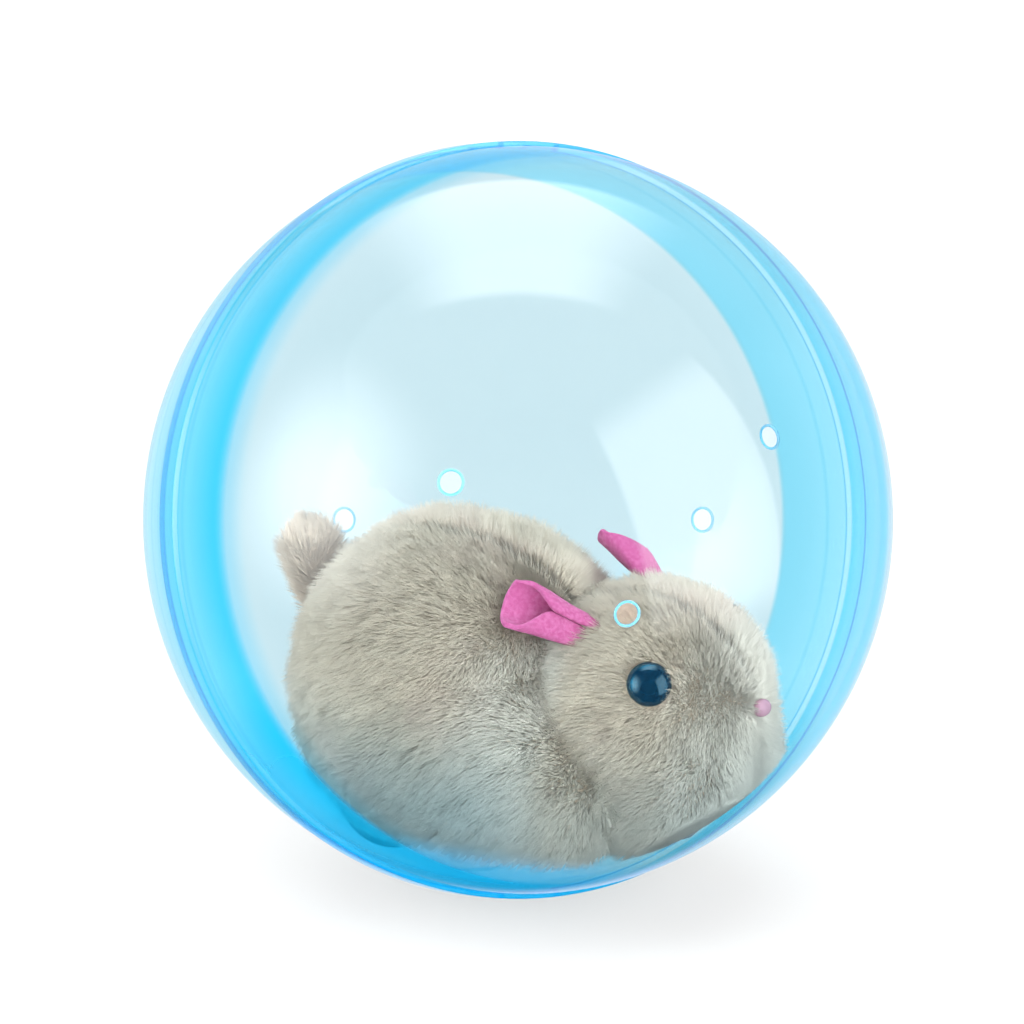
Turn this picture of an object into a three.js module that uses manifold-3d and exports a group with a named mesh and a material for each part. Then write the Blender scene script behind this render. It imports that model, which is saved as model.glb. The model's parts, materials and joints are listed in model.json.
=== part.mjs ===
// Automatic rolling ball: a plush animal on a motor carriage drives a clear two-part ball from inside.
// Millimetres, +Z up, origin at the ball's centre, the animal heads along +X with its left side at +Y.
import * as THREE from 'three';
import { mergeVertices } from 'three/addons/utils/BufferGeometryUtils.js';
import Module from 'manifold-3d';

const wasm = await Module();
wasm.setup();

// Ball
const BALL_D = 125; // over the proud rim band
const BAND_PROUD = 0.6; // rim band above the domes
const WALL = 1.9; // dome wall
const BAND_FRONT = 2.5; // how far the band reaches in front of the seam
const LAP = 3.2; // lip and spigot reach past the seam
const SPIGOT_WALL = 1.05;
const HOLE_D = 4; // air holes
const FRONT_HOLES = [[34, 170], [15.5, -115]]; // degrees from the front pole, degrees round it
const REAR_HOLES = [[54, 0], [69, 14], [5, 180]]; // degrees from the rear pole, degrees round it
const LUG_W = 5; // locating lugs round the rim
const LUG_L = 2;
const LUG_ANGLES = [-94.6, -85.4, 85.4, 94.6]; // degrees round the rim
const BALL_TURN = -40; // heading of the front pole from +X
const BALL_LEAN = 70.8; // angle of the front pole from +Z
const BALL_ROLL = 81.3; // turn of the ball about its own poles
const BALL_SIDES = 48;
const DOME_STEPS = 11;

// Clearances
const GAP = 0.3; // between pieces that touch
const BORE_GAP = 0.25; // round pins, shafts and screws
const FIT_GAP = 0.4; // plush over the carriage cover

// Gear train, all axes along Y
const MODULE = 0.5;
const PINION_TEETH = 10;
const WHEEL_TEETH = 30; // large gear of each compound gear
const SMALL_TEETH = 10; // small gear of each compound gear
const AXLE_TEETH = 28;
const ADDENDUM = 0.9; // tooth height over the pitch circle, in modules
const DEDENDUM = 1.2; // tooth depth under the pitch circle, in modules
const TOOTH_SHARE = 0.8; // tooth thickness against half the pitch
const PRESSURE_ANGLE = 20;
const GEAR_SLACK = 0.1; // added to each centre distance
const AXLE_X = -15; // drive axle behind the ball's centre
const STAGE_ANGLES = [86, 80, 10]; // axle to second gear, to first gear, to motor
const GEAR_PLANES = [[2.1, 4.6], [5.1, 7.1], [7.6, 9.6]]; // Y spans of the three meshes
const CASE_Y = [0.3, 10.1]; // gear case tub
const CASE_WALL = 1;
const CASE_FLOOR = 1.2;
const LID_T = 1;
const TIP_GAP = 0.5; // gear tips to the case wall
const PIN_R = 0.75;
const PIN_INSET = 0.2; // gear pins short of the case's outer faces
const SHAFT_R = 0.75;
const AXLE_R = 1;

// Motor
const MOTOR_L = 12;
const MOTOR_W = 12;
const MOTOR_H = 10;

// Wheels and front roller
const WHEEL_R = 9;
const TYRE_T = 1.5;
const TYRE_ROUND = 0.6; // rounded tread edges
const RIM_T = 1;
const HUB_T = 1.3;
const WEB_T = 1;
const WEB_PLACE = 0.6; // share of the width from the inner face to the web
const HUB_INSET = 0.6; // hub end inside the wheel's outer face
const WHEEL_IN = 14.2; // inner face of each wheel
const WHEEL_OUT = 20.2;
const ROLL_GAP = 0.3; // tyres and roller to the ball's wall
const ROLLER_R = 5;
const ROLLER_W = 12;
const ROLLER_X = 31;
const ROLLER_ROUND = 0.8;
const ROLLER_PIN_R = 1;
const CHEEK_T = 1.2;
const CHEEK_R = 3.2;

// Carriage
const FLOOR_DROP = 3; // underside below the drive axle
const BASE_H = 13.1; // base walls
const SHELL_T = 1.2; // moulded walls
const COVER_H = 2.9; // cover rim above the deck
const HUMP_ROUND = 3; // rounded crown over the motor
const REAR_BACK = 10.5; // rear wall behind the axle
const REAR_Y = [-13.6, 13.2];
const BOSS_R = 2.6;
const BOSS_IN = 1.6; // boss centres ahead of the battery box
const BOSS_Y = 12;
const REAR_BOSS_BACK = 6.3; // rear boss behind the axle
const REAR_BOSS_Y = -9.6;
const PLAN_ROUND = 2; // corners of the plan
const SCREW_R = 0.9;
const SCREW_HEAD_R = 1.9;
const SCREW_HEAD_H = 1;
const SCREW_L = 7;
const SCREW_CROWN = 0.75; // flat of the head against its radius
const SCREW_TIP = 1;

// Battery box, two cells side by side across the carriage
const CELL_D = 10.5;
const CELL_L = 44.5;
const CELL_NUB = 0.9;
const CELL_NUB_R = 1.9;
const CELL_ROUND = 0.5;
const CONTACT_T = 0.4;
const BAY_WALL = 1;
const DOOR_EAR_W = 8;
const DOOR_EAR_L = 4.6;
const DOOR_LEDGE = 1; // floor left round the door's opening
const GRIP_PITCH = 4; // finger grooves in the door
const GRIP_W = 1;
const GRIP_DEEP = 0.4;
const GRIP_INSET = 3;

// Slide switch
const SWITCH_BACK = 9; // rear end of the switch behind the axle
const SWITCH_Y = -3;
const SWITCH_T = 0.6; // can wall
const SWITCH_L = 6.4;
const SWITCH_W = 4;
const SWITCH_H = 3.6;
const KNOB_L = 1.8;
const KNOB_W = 1.6;
const FLANGE_H = 1.1; // knob flange inside the can
const KNOB_DROP = 1.4; // knob below the carriage floor
const KNOB_TRAVEL = 2.4;

// Plush
const PLUSH_GAP = 1.1; // plush to the ball's wall
const HEM_DROP = 0.8; // hem below the carriage
const WELL_GAP = 1; // plush round the wheels and the roller
const BODY = {
  x: -13, lift: 19.73, rear: 23.5, front: 29, chest: 13, tuck: 8.5, top: 25, bottom: 27, half: 28, flare: 3,
};
const HEAD = { x: 24, lift: 18.73, rear: 20, front: 21, top: 21, bottom: 24, half: 23.5, snout: 0.2 };
const EYE = { way: [0.35, 0.74, 0.58], sunk: 1.9, r: 3.8 }; // way from the head's middle, depth of the centre
const NOSE = { way: [1, 0, 0.19], sunk: 0.4, r: 2 };
const TAIL = { inset: -0.8, up: 6, back: 5.5, tall: 16.5, r: 4.8, fat: 1.7, tip: 0.4 };
const EAR = {
  back: 6, spread: 0.47, sunk: 2.5, l: 14.5, w: 10, t: 1.2, turn: 154, rise: 6, roll: 37, fold: 1.1,
};

// Colours
const paint = (color, roughness, metalness = 0) =>
  new THREE.MeshStandardMaterial({ color, roughness, metalness });
const CLEAR_BLUE = paint(0x5cc8f5, 0.08);
CLEAR_BLUE.transparent = true;
CLEAR_BLUE.opacity = 0.35;
const FUR = paint(0xd2c5b0, 0.95);
const TAN_FUR = paint(0xb98f68, 0.95);
const PINK_FELT = paint(0xe270b8, 0.9);
const PINK = paint(0xd79ab8, 0.6);
const EYE_BLACK = paint(0x08222c, 0.08);
const WHITE_PLASTIC = paint(0xe4e4e0, 0.5);
const GREY_PLASTIC = paint(0x8d9194, 0.5);
const BLACK_PLASTIC = paint(0x1c1c1e, 0.5);
const AMBER_GEAR = paint(0xe6dcc2, 0.45);
const STEEL = paint(0xb9bcc0, 0.3, 1);
const RUBBER = paint(0x26272a, 0.85);
const CELL_WRAP = paint(0x2f6f4e, 0.4);

const model = new THREE.Group();
const ball = new THREE.Group();
const carriage = new THREE.Group();
model.add(ball, carriage);

const radians = THREE.MathUtils.degToRad;
const point = (x, y) => new THREE.Vector2(x, y);

// Welds shared corners, drops empty triangles and turns the faces outwards.
function closed(geometry) {
  const bare = geometry.clone();
  bare.deleteAttribute('normal');
  bare.deleteAttribute('uv');
  const welded = mergeVertices(bare, 1e-4);
  const place = welded.attributes.position;
  const order = welded.index.array;
  const corner = [0, 1, 2].map(() => new THREE.Vector3());
  const triangles = [];
  let volume = 0;
  for (let i = 0; i < order.length; i += 3) {
    const tri = [order[i], order[i + 1], order[i + 2]];
    if (new Set(tri).size < 3) continue;
    tri.forEach((vertex, k) => corner[k].fromBufferAttribute(place, vertex));
    volume += corner[0].dot(corner[1].clone().cross(corner[2]));
    triangles.push(...tri);
  }
  welded.setIndex(volume < 0 ? triangles.reverse() : triangles);
  return welded;
}

function solid(geometry) {
  const mesh = closed(geometry);
  const vertProperties = Float32Array.from(mesh.attributes.position.array);
  const triVerts = Uint32Array.from(mesh.index.array);
  return new wasm.Manifold(new wasm.Mesh({ numProp: 3, vertProperties, triVerts }));
}

function shell(body) {
  const mesh = body.getMesh();
  const geometry = new THREE.BufferGeometry();
  geometry.setAttribute('position', new THREE.BufferAttribute(mesh.vertProperties, 3));
  geometry.setIndex(new THREE.BufferAttribute(mesh.triVerts, 1));
  return geometry;
}

const join = (...bodies) => bodies.reduce((whole, body) => whole.add(body));
const cut = (body, ...tools) => tools.reduce((left, tool) => left.subtract(tool), body);

function place(name, form, material, group = carriage) {
  const geometry = form instanceof THREE.BufferGeometry ? closed(form) : shell(form);
  geometry.computeVertexNormals();
  const mesh = new THREE.Mesh(geometry, material);
  mesh.name = name;
  group.add(mesh);
}

// Flat outlines and the slabs made from them
function circle(x, y, r) {
  const outline = new THREE.Shape();
  outline.absarc(x, y, r, 0, 2 * Math.PI, false);
  return outline;
}

function roundRect(x0, y0, x1, y1, r) {
  const outline = new THREE.Shape();
  outline.absarc(x1 - r, y1 - r, r, 0, Math.PI / 2);
  outline.absarc(x0 + r, y1 - r, r, Math.PI / 2, Math.PI);
  outline.absarc(x0 + r, y0 + r, r, Math.PI, 1.5 * Math.PI);
  outline.absarc(x1 - r, y0 + r, r, 1.5 * Math.PI, 2 * Math.PI);
  return outline;
}

// The belt line round a set of circles, each [x, y, r].
function hullOfCircles(circles, steps = 20) {
  const points = circles.flatMap(([x, y, r]) => Array.from({ length: steps }, (_, i) => {
    const angle = (2 * Math.PI * i) / steps;
    return point(x + r * Math.cos(angle), y + r * Math.sin(angle));
  }));
  points.sort((a, b) => a.x - b.x || a.y - b.y);
  const turn = (a, b, c) => (b.x - a.x) * (c.y - a.y) - (b.y - a.y) * (c.x - a.x);
  const half = (list) => list.reduce((chain, next) => {
    while (chain.length > 1 && turn(chain.at(-2), chain.at(-1), next) <= 1e-9) chain.pop();
    return [...chain, next];
  }, []);
  return new THREE.Shape([...half(points).slice(0, -1), ...half([...points].reverse()).slice(0, -1)]);
}

function slabZ(outline, z0, z1, curveSegments = 6) {
  const slab = new THREE.ExtrudeGeometry(outline, { depth: z1 - z0, bevelEnabled: false, curveSegments });
  return slab.translate(0, 0, z0);
}

// The outline lies in X and Z, and the slab runs along Y.
function slabY(outline, y0, y1, curveSegments = 6) {
  const slab = new THREE.ExtrudeGeometry(outline, { depth: y1 - y0, bevelEnabled: false, curveSegments });
  return slab.translate(0, 0, -y1).rotateX(Math.PI / 2);
}

function box(x0, x1, y0, y1, z0, z1) {
  const block = new THREE.BoxGeometry(x1 - x0, y1 - y0, z1 - z0);
  return solid(block.translate((x0 + x1) / 2, (y0 + y1) / 2, (z0 + z1) / 2));
}
const rodY = (x, z, r, y0, y1, segments = 6) => solid(slabY(circle(x, z, r), y0, y1, segments));
const rodZ = (x, y, r, z0, z1, segments = 6) => solid(slabZ(circle(x, y, r), z0, z1, segments));

// A turned piece about an axis along Y through x and z: the profile holds radius and Y.
function turnedY(profile, x, z, sides) {
  return solid(new THREE.LatheGeometry(profile, sides).translate(x, 0, z));
}

// Ball shells, turned about their poles with the front pole along the group's +Z
const BAND_R = BALL_D / 2;
const DOME_R = BAND_R - BAND_PROUD;
const INNER_R = DOME_R - WALL;
const SPIGOT_R = INNER_R + SPIGOT_WALL;
const LIP_R = SPIGOT_R + GAP;

// Points of a meridian from one height above the seam to another.
function meridian(r, from, to) {
  const a0 = Math.acos(from / r);
  const a1 = Math.acos(to / r);
  return Array.from({ length: DOME_STEPS + 1 }, (_, i) => {
    const angle = a0 + ((a1 - a0) * i) / DOME_STEPS;
    return point(i === 0 && from === r ? 0 : r * Math.sin(angle), r * Math.cos(angle));
  });
}

function turnedShell(profile) {
  return solid(new THREE.LatheGeometry(profile, BALL_SIDES).rotateX(Math.PI / 2));
}

function airHoles(places, pole) {
  return places.map(([polar, round]) => {
    const way = new THREE.Vector3().setFromSphericalCoords(1, radians(polar), 0);
    const drill = new THREE.CylinderGeometry(HOLE_D / 2, HOLE_D / 2, 6 * WALL, 12);
    drill.translate(0, INNER_R + WALL / 2, 0);
    drill.applyQuaternion(new THREE.Quaternion().setFromUnitVectors(new THREE.Vector3(0, 1, 0), way));
    drill.rotateX(Math.PI / 2);
    drill.rotateZ(radians(round) + Math.PI / 2);
    if (pole < 0) drill.scale(1, 1, -1);
    return solid(drill);
  });
}

// Blocks round the rim: the lugs themselves, or their slots when grown.
function rimBlocks(r0, r1, z0, z1, width) {
  return LUG_ANGLES.map((angle) => {
    const block = new THREE.BoxGeometry(r1 - r0, width, z1 - z0).translate((r0 + r1) / 2, 0, (z0 + z1) / 2);
    return solid(block.rotateZ(radians(angle)));
  });
}

function frontShell() {
  const inner = meridian(INNER_R, INNER_R, LAP + GAP).reverse();
  const profile = [
    ...meridian(DOME_R, DOME_R, BAND_FRONT + BAND_PROUD),
    point(BAND_R, BAND_FRONT),
    point(BAND_R, -LAP),
    point(LIP_R, -LAP),
    point(LIP_R, LAP + GAP),
    ...inner,
  ];
  const slots = rimBlocks(SPIGOT_R, BAND_R + 1, -LAP - 1, LUG_L - LAP + GAP, LUG_W + 2 * GAP);
  return cut(turnedShell(profile), ...airHoles(FRONT_HOLES, 1), ...slots);
}

function rearShell() {
  const inner = meridian(INNER_R, INNER_R, -LAP).reverse().map((p) => point(p.x, -p.y));
  const outer = meridian(DOME_R, DOME_R, LAP + GAP).map((p) => point(p.x, -p.y));
  const profile = [...outer, point(SPIGOT_R, -LAP - GAP), point(SPIGOT_R, LAP), ...inner];
  const lugs = rimBlocks(SPIGOT_R - SPIGOT_WALL / 2, BAND_R - BAND_PROUD, -LAP - 2 * GAP, LUG_L - LAP, LUG_W);
  return cut(join(turnedShell(profile), ...lugs), ...airHoles(REAR_HOLES, -1));
}

const aboutZ = (angle) => new THREE.Quaternion().setFromAxisAngle(new THREE.Vector3(0, 0, 1), radians(angle));
const aboutY = (angle) => new THREE.Quaternion().setFromAxisAngle(new THREE.Vector3(0, 1, 0), radians(angle));
ball.quaternion.copy(aboutZ(BALL_TURN).multiply(aboutY(BALL_LEAN)).multiply(aboutZ(BALL_ROLL)));
place('front_shell', frontShell(), CLEAR_BLUE, ball);
place('rear_shell', rearShell(), CLEAR_BLUE, ball);

// Gear centres in X and Z
const pitchR = (teeth) => (MODULE * teeth) / 2;
const tipR = (teeth) => pitchR(teeth) + ADDENDUM * MODULE;
const rootR = (teeth) => pitchR(teeth) - DEDENDUM * MODULE;
const centreGap = (a, b) => pitchR(a) + pitchR(b) + GEAR_SLACK;
const ROLL_R = INNER_R - ROLL_GAP;
const AXLE_REACH = Math.sqrt(ROLL_R ** 2 - WHEEL_OUT ** 2) - WHEEL_R;
const AXLE = point(AXLE_X, -Math.sqrt(AXLE_REACH ** 2 - AXLE_X ** 2));
const step = (from, angle, length) =>
  point(from.x + length * Math.cos(radians(angle)), from.y + length * Math.sin(radians(angle)));
const SECOND = step(AXLE, STAGE_ANGLES[0], centreGap(AXLE_TEETH, SMALL_TEETH));
const FIRST = step(SECOND, STAGE_ANGLES[1], centreGap(WHEEL_TEETH, SMALL_TEETH));
const MOTOR = step(FIRST, STAGE_ANGLES[2], centreGap(WHEEL_TEETH, PINION_TEETH));

// Heights of the carriage and the plush, from the axle
const FLOOR_Z = AXLE.y - FLOOR_DROP; // underside
const DECK_Z = FLOOR_Z + BASE_H; // top of the base's walls
const HEM_Z = FLOOR_Z - HEM_DROP;
const BODY_Z = FLOOR_Z + BODY.lift;
const HEAD_Z = FLOOR_Z + HEAD.lift;
const REAR_X = AXLE_X - REAR_BACK;
const REAR_BOSS = [AXLE_X - REAR_BOSS_BACK, REAR_BOSS_Y];

// A spur gear outline with a tooth, or a gap, pointing along the given angle.
function gearOutline(teeth, centre, angle, gapThere) {
  const flank = Math.tan(radians(PRESSURE_ANGLE));
  const half = (TOOTH_SHARE * MODULE * Math.PI) / 4;
  const root = rootR(teeth);
  const tip = tipR(teeth);
  const rootHalf = (half + DEDENDUM * MODULE * flank) / root;
  const tipHalf = (half - ADDENDUM * MODULE * flank) / tip;
  const start = radians(angle) + (gapThere ? Math.PI / teeth : 0);
  const corners = [];
  for (let i = 0; i < teeth; i += 1) {
    const middle = start + (2 * Math.PI * i) / teeth;
    for (const [r, turn] of [[root, -rootHalf], [tip, -tipHalf], [tip, tipHalf], [root, rootHalf]]) {
      corners.push(point(centre.x + r * Math.cos(middle + turn), centre.y + r * Math.sin(middle + turn)));
    }
  }
  return new THREE.Shape(corners);
}

const gear = (teeth, centre, angle, gapThere, plane) =>
  solid(slabY(gearOutline(teeth, centre, angle, gapThere), ...plane));

function compoundGear(centre, smallPlane, smallAngle, smallGap, largePlane, largeAngle, largeGap) {
  const hub = rodY(centre.x, centre.y, rootR(SMALL_TEETH), smallPlane[0], largePlane[1]);
  const small = gear(SMALL_TEETH, centre, smallAngle, smallGap, smallPlane);
  const large = gear(WHEEL_TEETH, centre, largeAngle, largeGap, largePlane);
  const bore = rodY(centre.x, centre.y, PIN_R + BORE_GAP, smallPlane[0] - 1, largePlane[1] + 1);
  return cut(join(hub, small, large), bore);
}

const [AXLE_PLANE, SECOND_PLANE, FIRST_PLANE] = GEAR_PLANES;
const LID_Y = [CASE_Y[1] + GAP, CASE_Y[1] + GAP + LID_T];
place('motor_pinion', join(
  gear(PINION_TEETH, MOTOR, STAGE_ANGLES[2] + 180, true, FIRST_PLANE),
  rodY(MOTOR.x, MOTOR.y, SHAFT_R, -MOTOR_L / 3, FIRST_PLANE[1]),
), STEEL);
place('compound_gear_1', compoundGear(
  FIRST, SECOND_PLANE, STAGE_ANGLES[1] + 180, true, FIRST_PLANE, STAGE_ANGLES[2], false,
), AMBER_GEAR);
place('compound_gear_2', compoundGear(
  SECOND, AXLE_PLANE, STAGE_ANGLES[0] + 180, true, SECOND_PLANE, STAGE_ANGLES[1], false,
), AMBER_GEAR);
place('axle_gear', cut(
  gear(AXLE_TEETH, AXLE, STAGE_ANGLES[0], false, AXLE_PLANE),
  rodY(AXLE.x, AXLE.y, AXLE_R + BORE_GAP, AXLE_PLANE[0] - 1, AXLE_PLANE[1] + 1),
), AMBER_GEAR);
const PIN_Y = [CASE_Y[0] + PIN_INSET, LID_Y[1] - PIN_INSET];
[FIRST, SECOND].forEach((centre, i) =>
  place(`gear_pin_${i + 1}`, rodY(centre.x, centre.y, PIN_R, ...PIN_Y, 5), STEEL));

// Gear case: a tub and a lid round the train, hung on the battery box wall
const CASE_R = TIP_GAP + CASE_WALL;
const GEAR_CIRCLES = [
  [AXLE.x, AXLE.y, tipR(AXLE_TEETH)],
  [SECOND.x, SECOND.y, tipR(WHEEL_TEETH)],
  [FIRST.x, FIRST.y, tipR(WHEEL_TEETH)],
  [MOTOR.x, MOTOR.y, tipR(PINION_TEETH)],
];
function caseCircles(grow) {
  const grown = GEAR_CIRCLES.map(([x, z, r]) => [x, z, r + grow]);
  return [0, 1, 2].map((i) => grown.slice(i, i + 2));
}
const caseBody = (grow, y0, y1) =>
  join(...caseCircles(grow).map((set) => solid(slabY(hullOfCircles(set), y0, y1))));
const shaftBores = (y0, y1) => [
  rodY(AXLE.x, AXLE.y, AXLE_R + BORE_GAP, y0, y1),
  rodY(FIRST.x, FIRST.y, PIN_R + BORE_GAP, y0, y1),
  rodY(SECOND.x, SECOND.y, PIN_R + BORE_GAP, y0, y1),
];
const BAY_X = SECOND.x + tipR(WHEEL_TEETH) + CASE_R + GAP; // rear face of the battery box
const caseEar = box(SECOND.x, BAY_X + BAY_WALL, ...CASE_Y, DECK_Z + GAP, DECK_Z + GAP + SHELL_T);
place('gear_case', cut(
  join(caseBody(CASE_R, ...CASE_Y), caseEar),
  caseBody(TIP_GAP, CASE_Y[0] + CASE_FLOOR, CASE_Y[1] + 1),
  ...shaftBores(CASE_Y[0] - 1, CASE_Y[1]),
  rodY(MOTOR.x, MOTOR.y, SHAFT_R + BORE_GAP, CASE_Y[0] - 1, CASE_Y[1]),
), WHITE_PLASTIC);
place('gear_case_lid', cut(
  caseBody(CASE_R, ...LID_Y),
  ...shaftBores(LID_Y[0] - 1, LID_Y[1] + 1),
), WHITE_PLASTIC);

// Motor: a flat-sided can with a rear brush cap
const MOTOR_FACE = CASE_Y[0] - GAP;
const canOutline = hullOfCircles([-1, 1].map((side) =>
  [MOTOR.x + (side * (MOTOR_W - MOTOR_H)) / 2, MOTOR.y, MOTOR_H / 2]));
place('motor_can', cut(
  solid(slabY(canOutline, MOTOR_FACE - MOTOR_L, MOTOR_FACE)),
  rodY(MOTOR.x, MOTOR.y, SHAFT_R + BORE_GAP, -MOTOR_L / 2, 1),
), STEEL);

// Drive axle, wheels and tyres
const WHEEL_SIDES = 24;
place('drive_axle', rodY(AXLE.x, AXLE.y, AXLE_R, -WHEEL_OUT, WHEEL_OUT, 5), STEEL);
const RIM_R = WHEEL_R - TYRE_T;
function wheel(side) {
  const [inside, outside] = [WHEEL_IN, WHEEL_OUT].map((y) => side * y);
  const web = side * (WHEEL_IN + (WHEEL_OUT - WHEEL_IN) * WEB_PLACE);
  const back = web - side * WEB_T;
  const end = outside - side * HUB_INSET;
  const bore = AXLE_R + BORE_GAP;
  const hub = bore + HUB_T;
  const root = RIM_R - 1.4 * RIM_T;
  const profile = [[bore, inside], [hub, inside], [hub, back], [root, back], [RIM_R - RIM_T, inside],
    [RIM_R, inside], [RIM_R, outside], [RIM_R - RIM_T, outside], [root, web], [hub, web], [hub, end],
    [bore, end], [bore, inside]];
  return turnedY(profile.map(([r, y]) => point(r, y)), AXLE.x, AXLE.y, WHEEL_SIDES);
}
function tyre(side) {
  const [inside, outside] = [WHEEL_IN, WHEEL_OUT].map((y) => side * y);
  const inner = RIM_R + BORE_GAP;
  const edge = side * TYRE_ROUND;
  const profile = [[inner, inside], [WHEEL_R - TYRE_ROUND, inside], [WHEEL_R, inside + edge],
    [WHEEL_R, outside - edge], [WHEEL_R - TYRE_ROUND / 2, outside], [inner, outside], [inner, inside]];
  return turnedY(profile.map(([r, y]) => point(r, y)), AXLE.x, AXLE.y, WHEEL_SIDES);
}
for (const [name, side] of [['left', 1], ['right', -1]]) {
  place(`wheel_${name}`, wheel(side), GREY_PLASTIC);
  place(`tyre_${name}`, tyre(side), RUBBER);
}

// Carriage plan: rear bay, battery box and screw bosses
const CELL_R = CELL_D / 2;
const BAY_IN = [BAY_X + BAY_WALL, BAY_X + BAY_WALL + 2 * CELL_D + 3 * GAP];
const BAY_FRONT = BAY_IN[1] + BAY_WALL;
const BAY_HALF_IN = CELL_L / 2 + CONTACT_T + 2 * GAP;
const BAY_HALF = BAY_HALF_IN + BAY_WALL;
const BOSS_X = BAY_FRONT + BOSS_IN;
const BOSSES = [[BOSS_X, BOSS_Y], [BOSS_X, -BOSS_Y], REAR_BOSS];
const FLOOR_TOP = FLOOR_Z + SHELL_T;
const CELL_Z = FLOOR_TOP + GAP + CELL_R;

function plan(grow, z0, z1) {
  const joinX = BAY_X + PLAN_ROUND + BAY_WALL;
  const rear = roundRect(REAR_X - grow, REAR_Y[0] - grow, joinX, REAR_Y[1] + grow, PLAN_ROUND);
  const bay = roundRect(BAY_X - grow, -BAY_HALF - grow, BAY_FRONT + grow, BAY_HALF + grow, PLAN_ROUND);
  const bosses = BOSSES.slice(0, 2).map(([x, y]) => rodZ(x, y, BOSS_R + grow, z0, z1));
  return join(solid(slabZ(rear, z0, z1, 3)), solid(slabZ(bay, z0, z1, 3)), ...bosses);
}

// Front roller bracket: two rounded cheeks on an arm of the floor
const ROLLER_REACH = Math.sqrt(ROLL_R ** 2 - (ROLLER_W / 2) ** 2) - ROLLER_R;
const ROLLER = point(ROLLER_X, -Math.sqrt(ROLLER_REACH ** 2 - ROLLER_X ** 2));
const CHEEK_IN = ROLLER_W / 2 + GAP + BORE_GAP;
const CHEEK_OUT = CHEEK_IN + CHEEK_T;
const CHEEK_BACK = [BAY_FRONT, FLOOR_Z + CHEEK_R, CHEEK_R];
const cheekOutline = (grow) => hullOfCircles([
  [ROLLER.x, ROLLER.y, CHEEK_R + grow], [CHEEK_BACK[0], CHEEK_BACK[1], CHEEK_R + grow],
]);
const ARM_END = ROLLER.x - ROLLER_R - GAP;

// Switch and door places in the floor
const SWITCH_X = AXLE_X - SWITCH_BACK;
const SWITCH_IN = [SWITCH_X + SWITCH_T, SWITCH_X + SWITCH_L - SWITCH_T];
const KNOB_X = SWITCH_IN[0] + GAP;
const across = (width) => [SWITCH_Y - width / 2, SWITCH_Y + width / 2];
const DOOR_X = [BAY_IN[0] + DOOR_LEDGE, BAY_IN[1] - DOOR_LEDGE];
const DOOR_Y = BAY_HALF_IN - DOOR_LEDGE;
const EAR_END = BOSS_X + DOOR_EAR_L - BOSS_IN;
const DOOR_SCREW_X = BAY_FRONT + DOOR_EAR_L / 2;
const doorOutline = (grow, z0, z1) => join(
  box(DOOR_X[0] - grow, DOOR_X[1] + grow, -DOOR_Y - grow, DOOR_Y + grow, z0, z1),
  box(DOOR_X[1] - 1, EAR_END + grow, -DOOR_EAR_W / 2 - grow, DOOR_EAR_W / 2 + grow, z0, z1),
);

function chassisBase() {
  const wallIn = [REAR_X + SHELL_T, REAR_Y[0] + SHELL_T, REAR_Y[1] - SHELL_T];
  const body = cut(
    plan(0, FLOOR_Z, DECK_Z),
    box(wallIn[0], BAY_X, wallIn[1], wallIn[2], FLOOR_TOP, DECK_Z + 1),
    box(...BAY_IN, -BAY_HALF_IN, BAY_HALF_IN, FLOOR_TOP, DECK_Z + 1),
    box(wallIn[0], BAY_X - GAP, CASE_Y[0] - GAP, wallIn[2], FLOOR_Z - 1, FLOOR_TOP + 1),
  );
  const arm = box(BAY_FRONT - BAY_WALL, ARM_END, -CHEEK_OUT, CHEEK_OUT, FLOOR_Z, FLOOR_TOP);
  const cheeks = [1, -1].map((side) =>
    solid(slabY(cheekOutline(0), ...(side > 0 ? [CHEEK_IN, CHEEK_OUT] : [-CHEEK_OUT, -CHEEK_IN]))));
  const doorBoss = rodZ(DOOR_SCREW_X, 0, BOSS_R, FLOOR_TOP - 0.5, FLOOR_TOP + SCREW_L);
  const rearBoss = rodZ(...REAR_BOSS, BOSS_R, FLOOR_Z, DECK_Z);
  const doorWeb = box(BAY_FRONT - BAY_WALL / 2, DOOR_SCREW_X, -SHELL_T / 2, SHELL_T / 2,
    FLOOR_TOP, FLOOR_TOP + SCREW_L);
  return cut(
    join(body, arm, ...cheeks, doorBoss, doorWeb, rearBoss),
    doorOutline(GAP, FLOOR_Z - 1, FLOOR_TOP),
    box(...BAY_IN, -BAY_HALF_IN, BAY_HALF_IN, FLOOR_TOP, DECK_Z + 1),
    box(DOOR_X[0] - GAP, DOOR_X[1] + GAP, -DOOR_Y - GAP, DOOR_Y + GAP, FLOOR_Z - 1, DECK_Z),
    rodY(AXLE.x, AXLE.y, AXLE_R + BORE_GAP, REAR_Y[0] - 1, REAR_Y[1] + 1),
    rodY(ROLLER.x, ROLLER.y, ROLLER_PIN_R + BORE_GAP, -CHEEK_OUT - 1, CHEEK_OUT + 1),
    rodZ(DOOR_SCREW_X, 0, SCREW_R + BORE_GAP, FLOOR_Z - 1, FLOOR_TOP + SCREW_L - 1),
    ...BOSSES.map(([x, y]) => rodZ(x, y, SCREW_R + BORE_GAP, DECK_Z - SCREW_L, DECK_Z + 1)),
    box(KNOB_X - GAP, KNOB_X + KNOB_L + KNOB_TRAVEL + GAP, ...across(KNOB_W + 2 * GAP),
      FLOOR_Z - 1, FLOOR_TOP + 1),
  );
}
place('chassis_base', chassisBase(), WHITE_PLASTIC);

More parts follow.
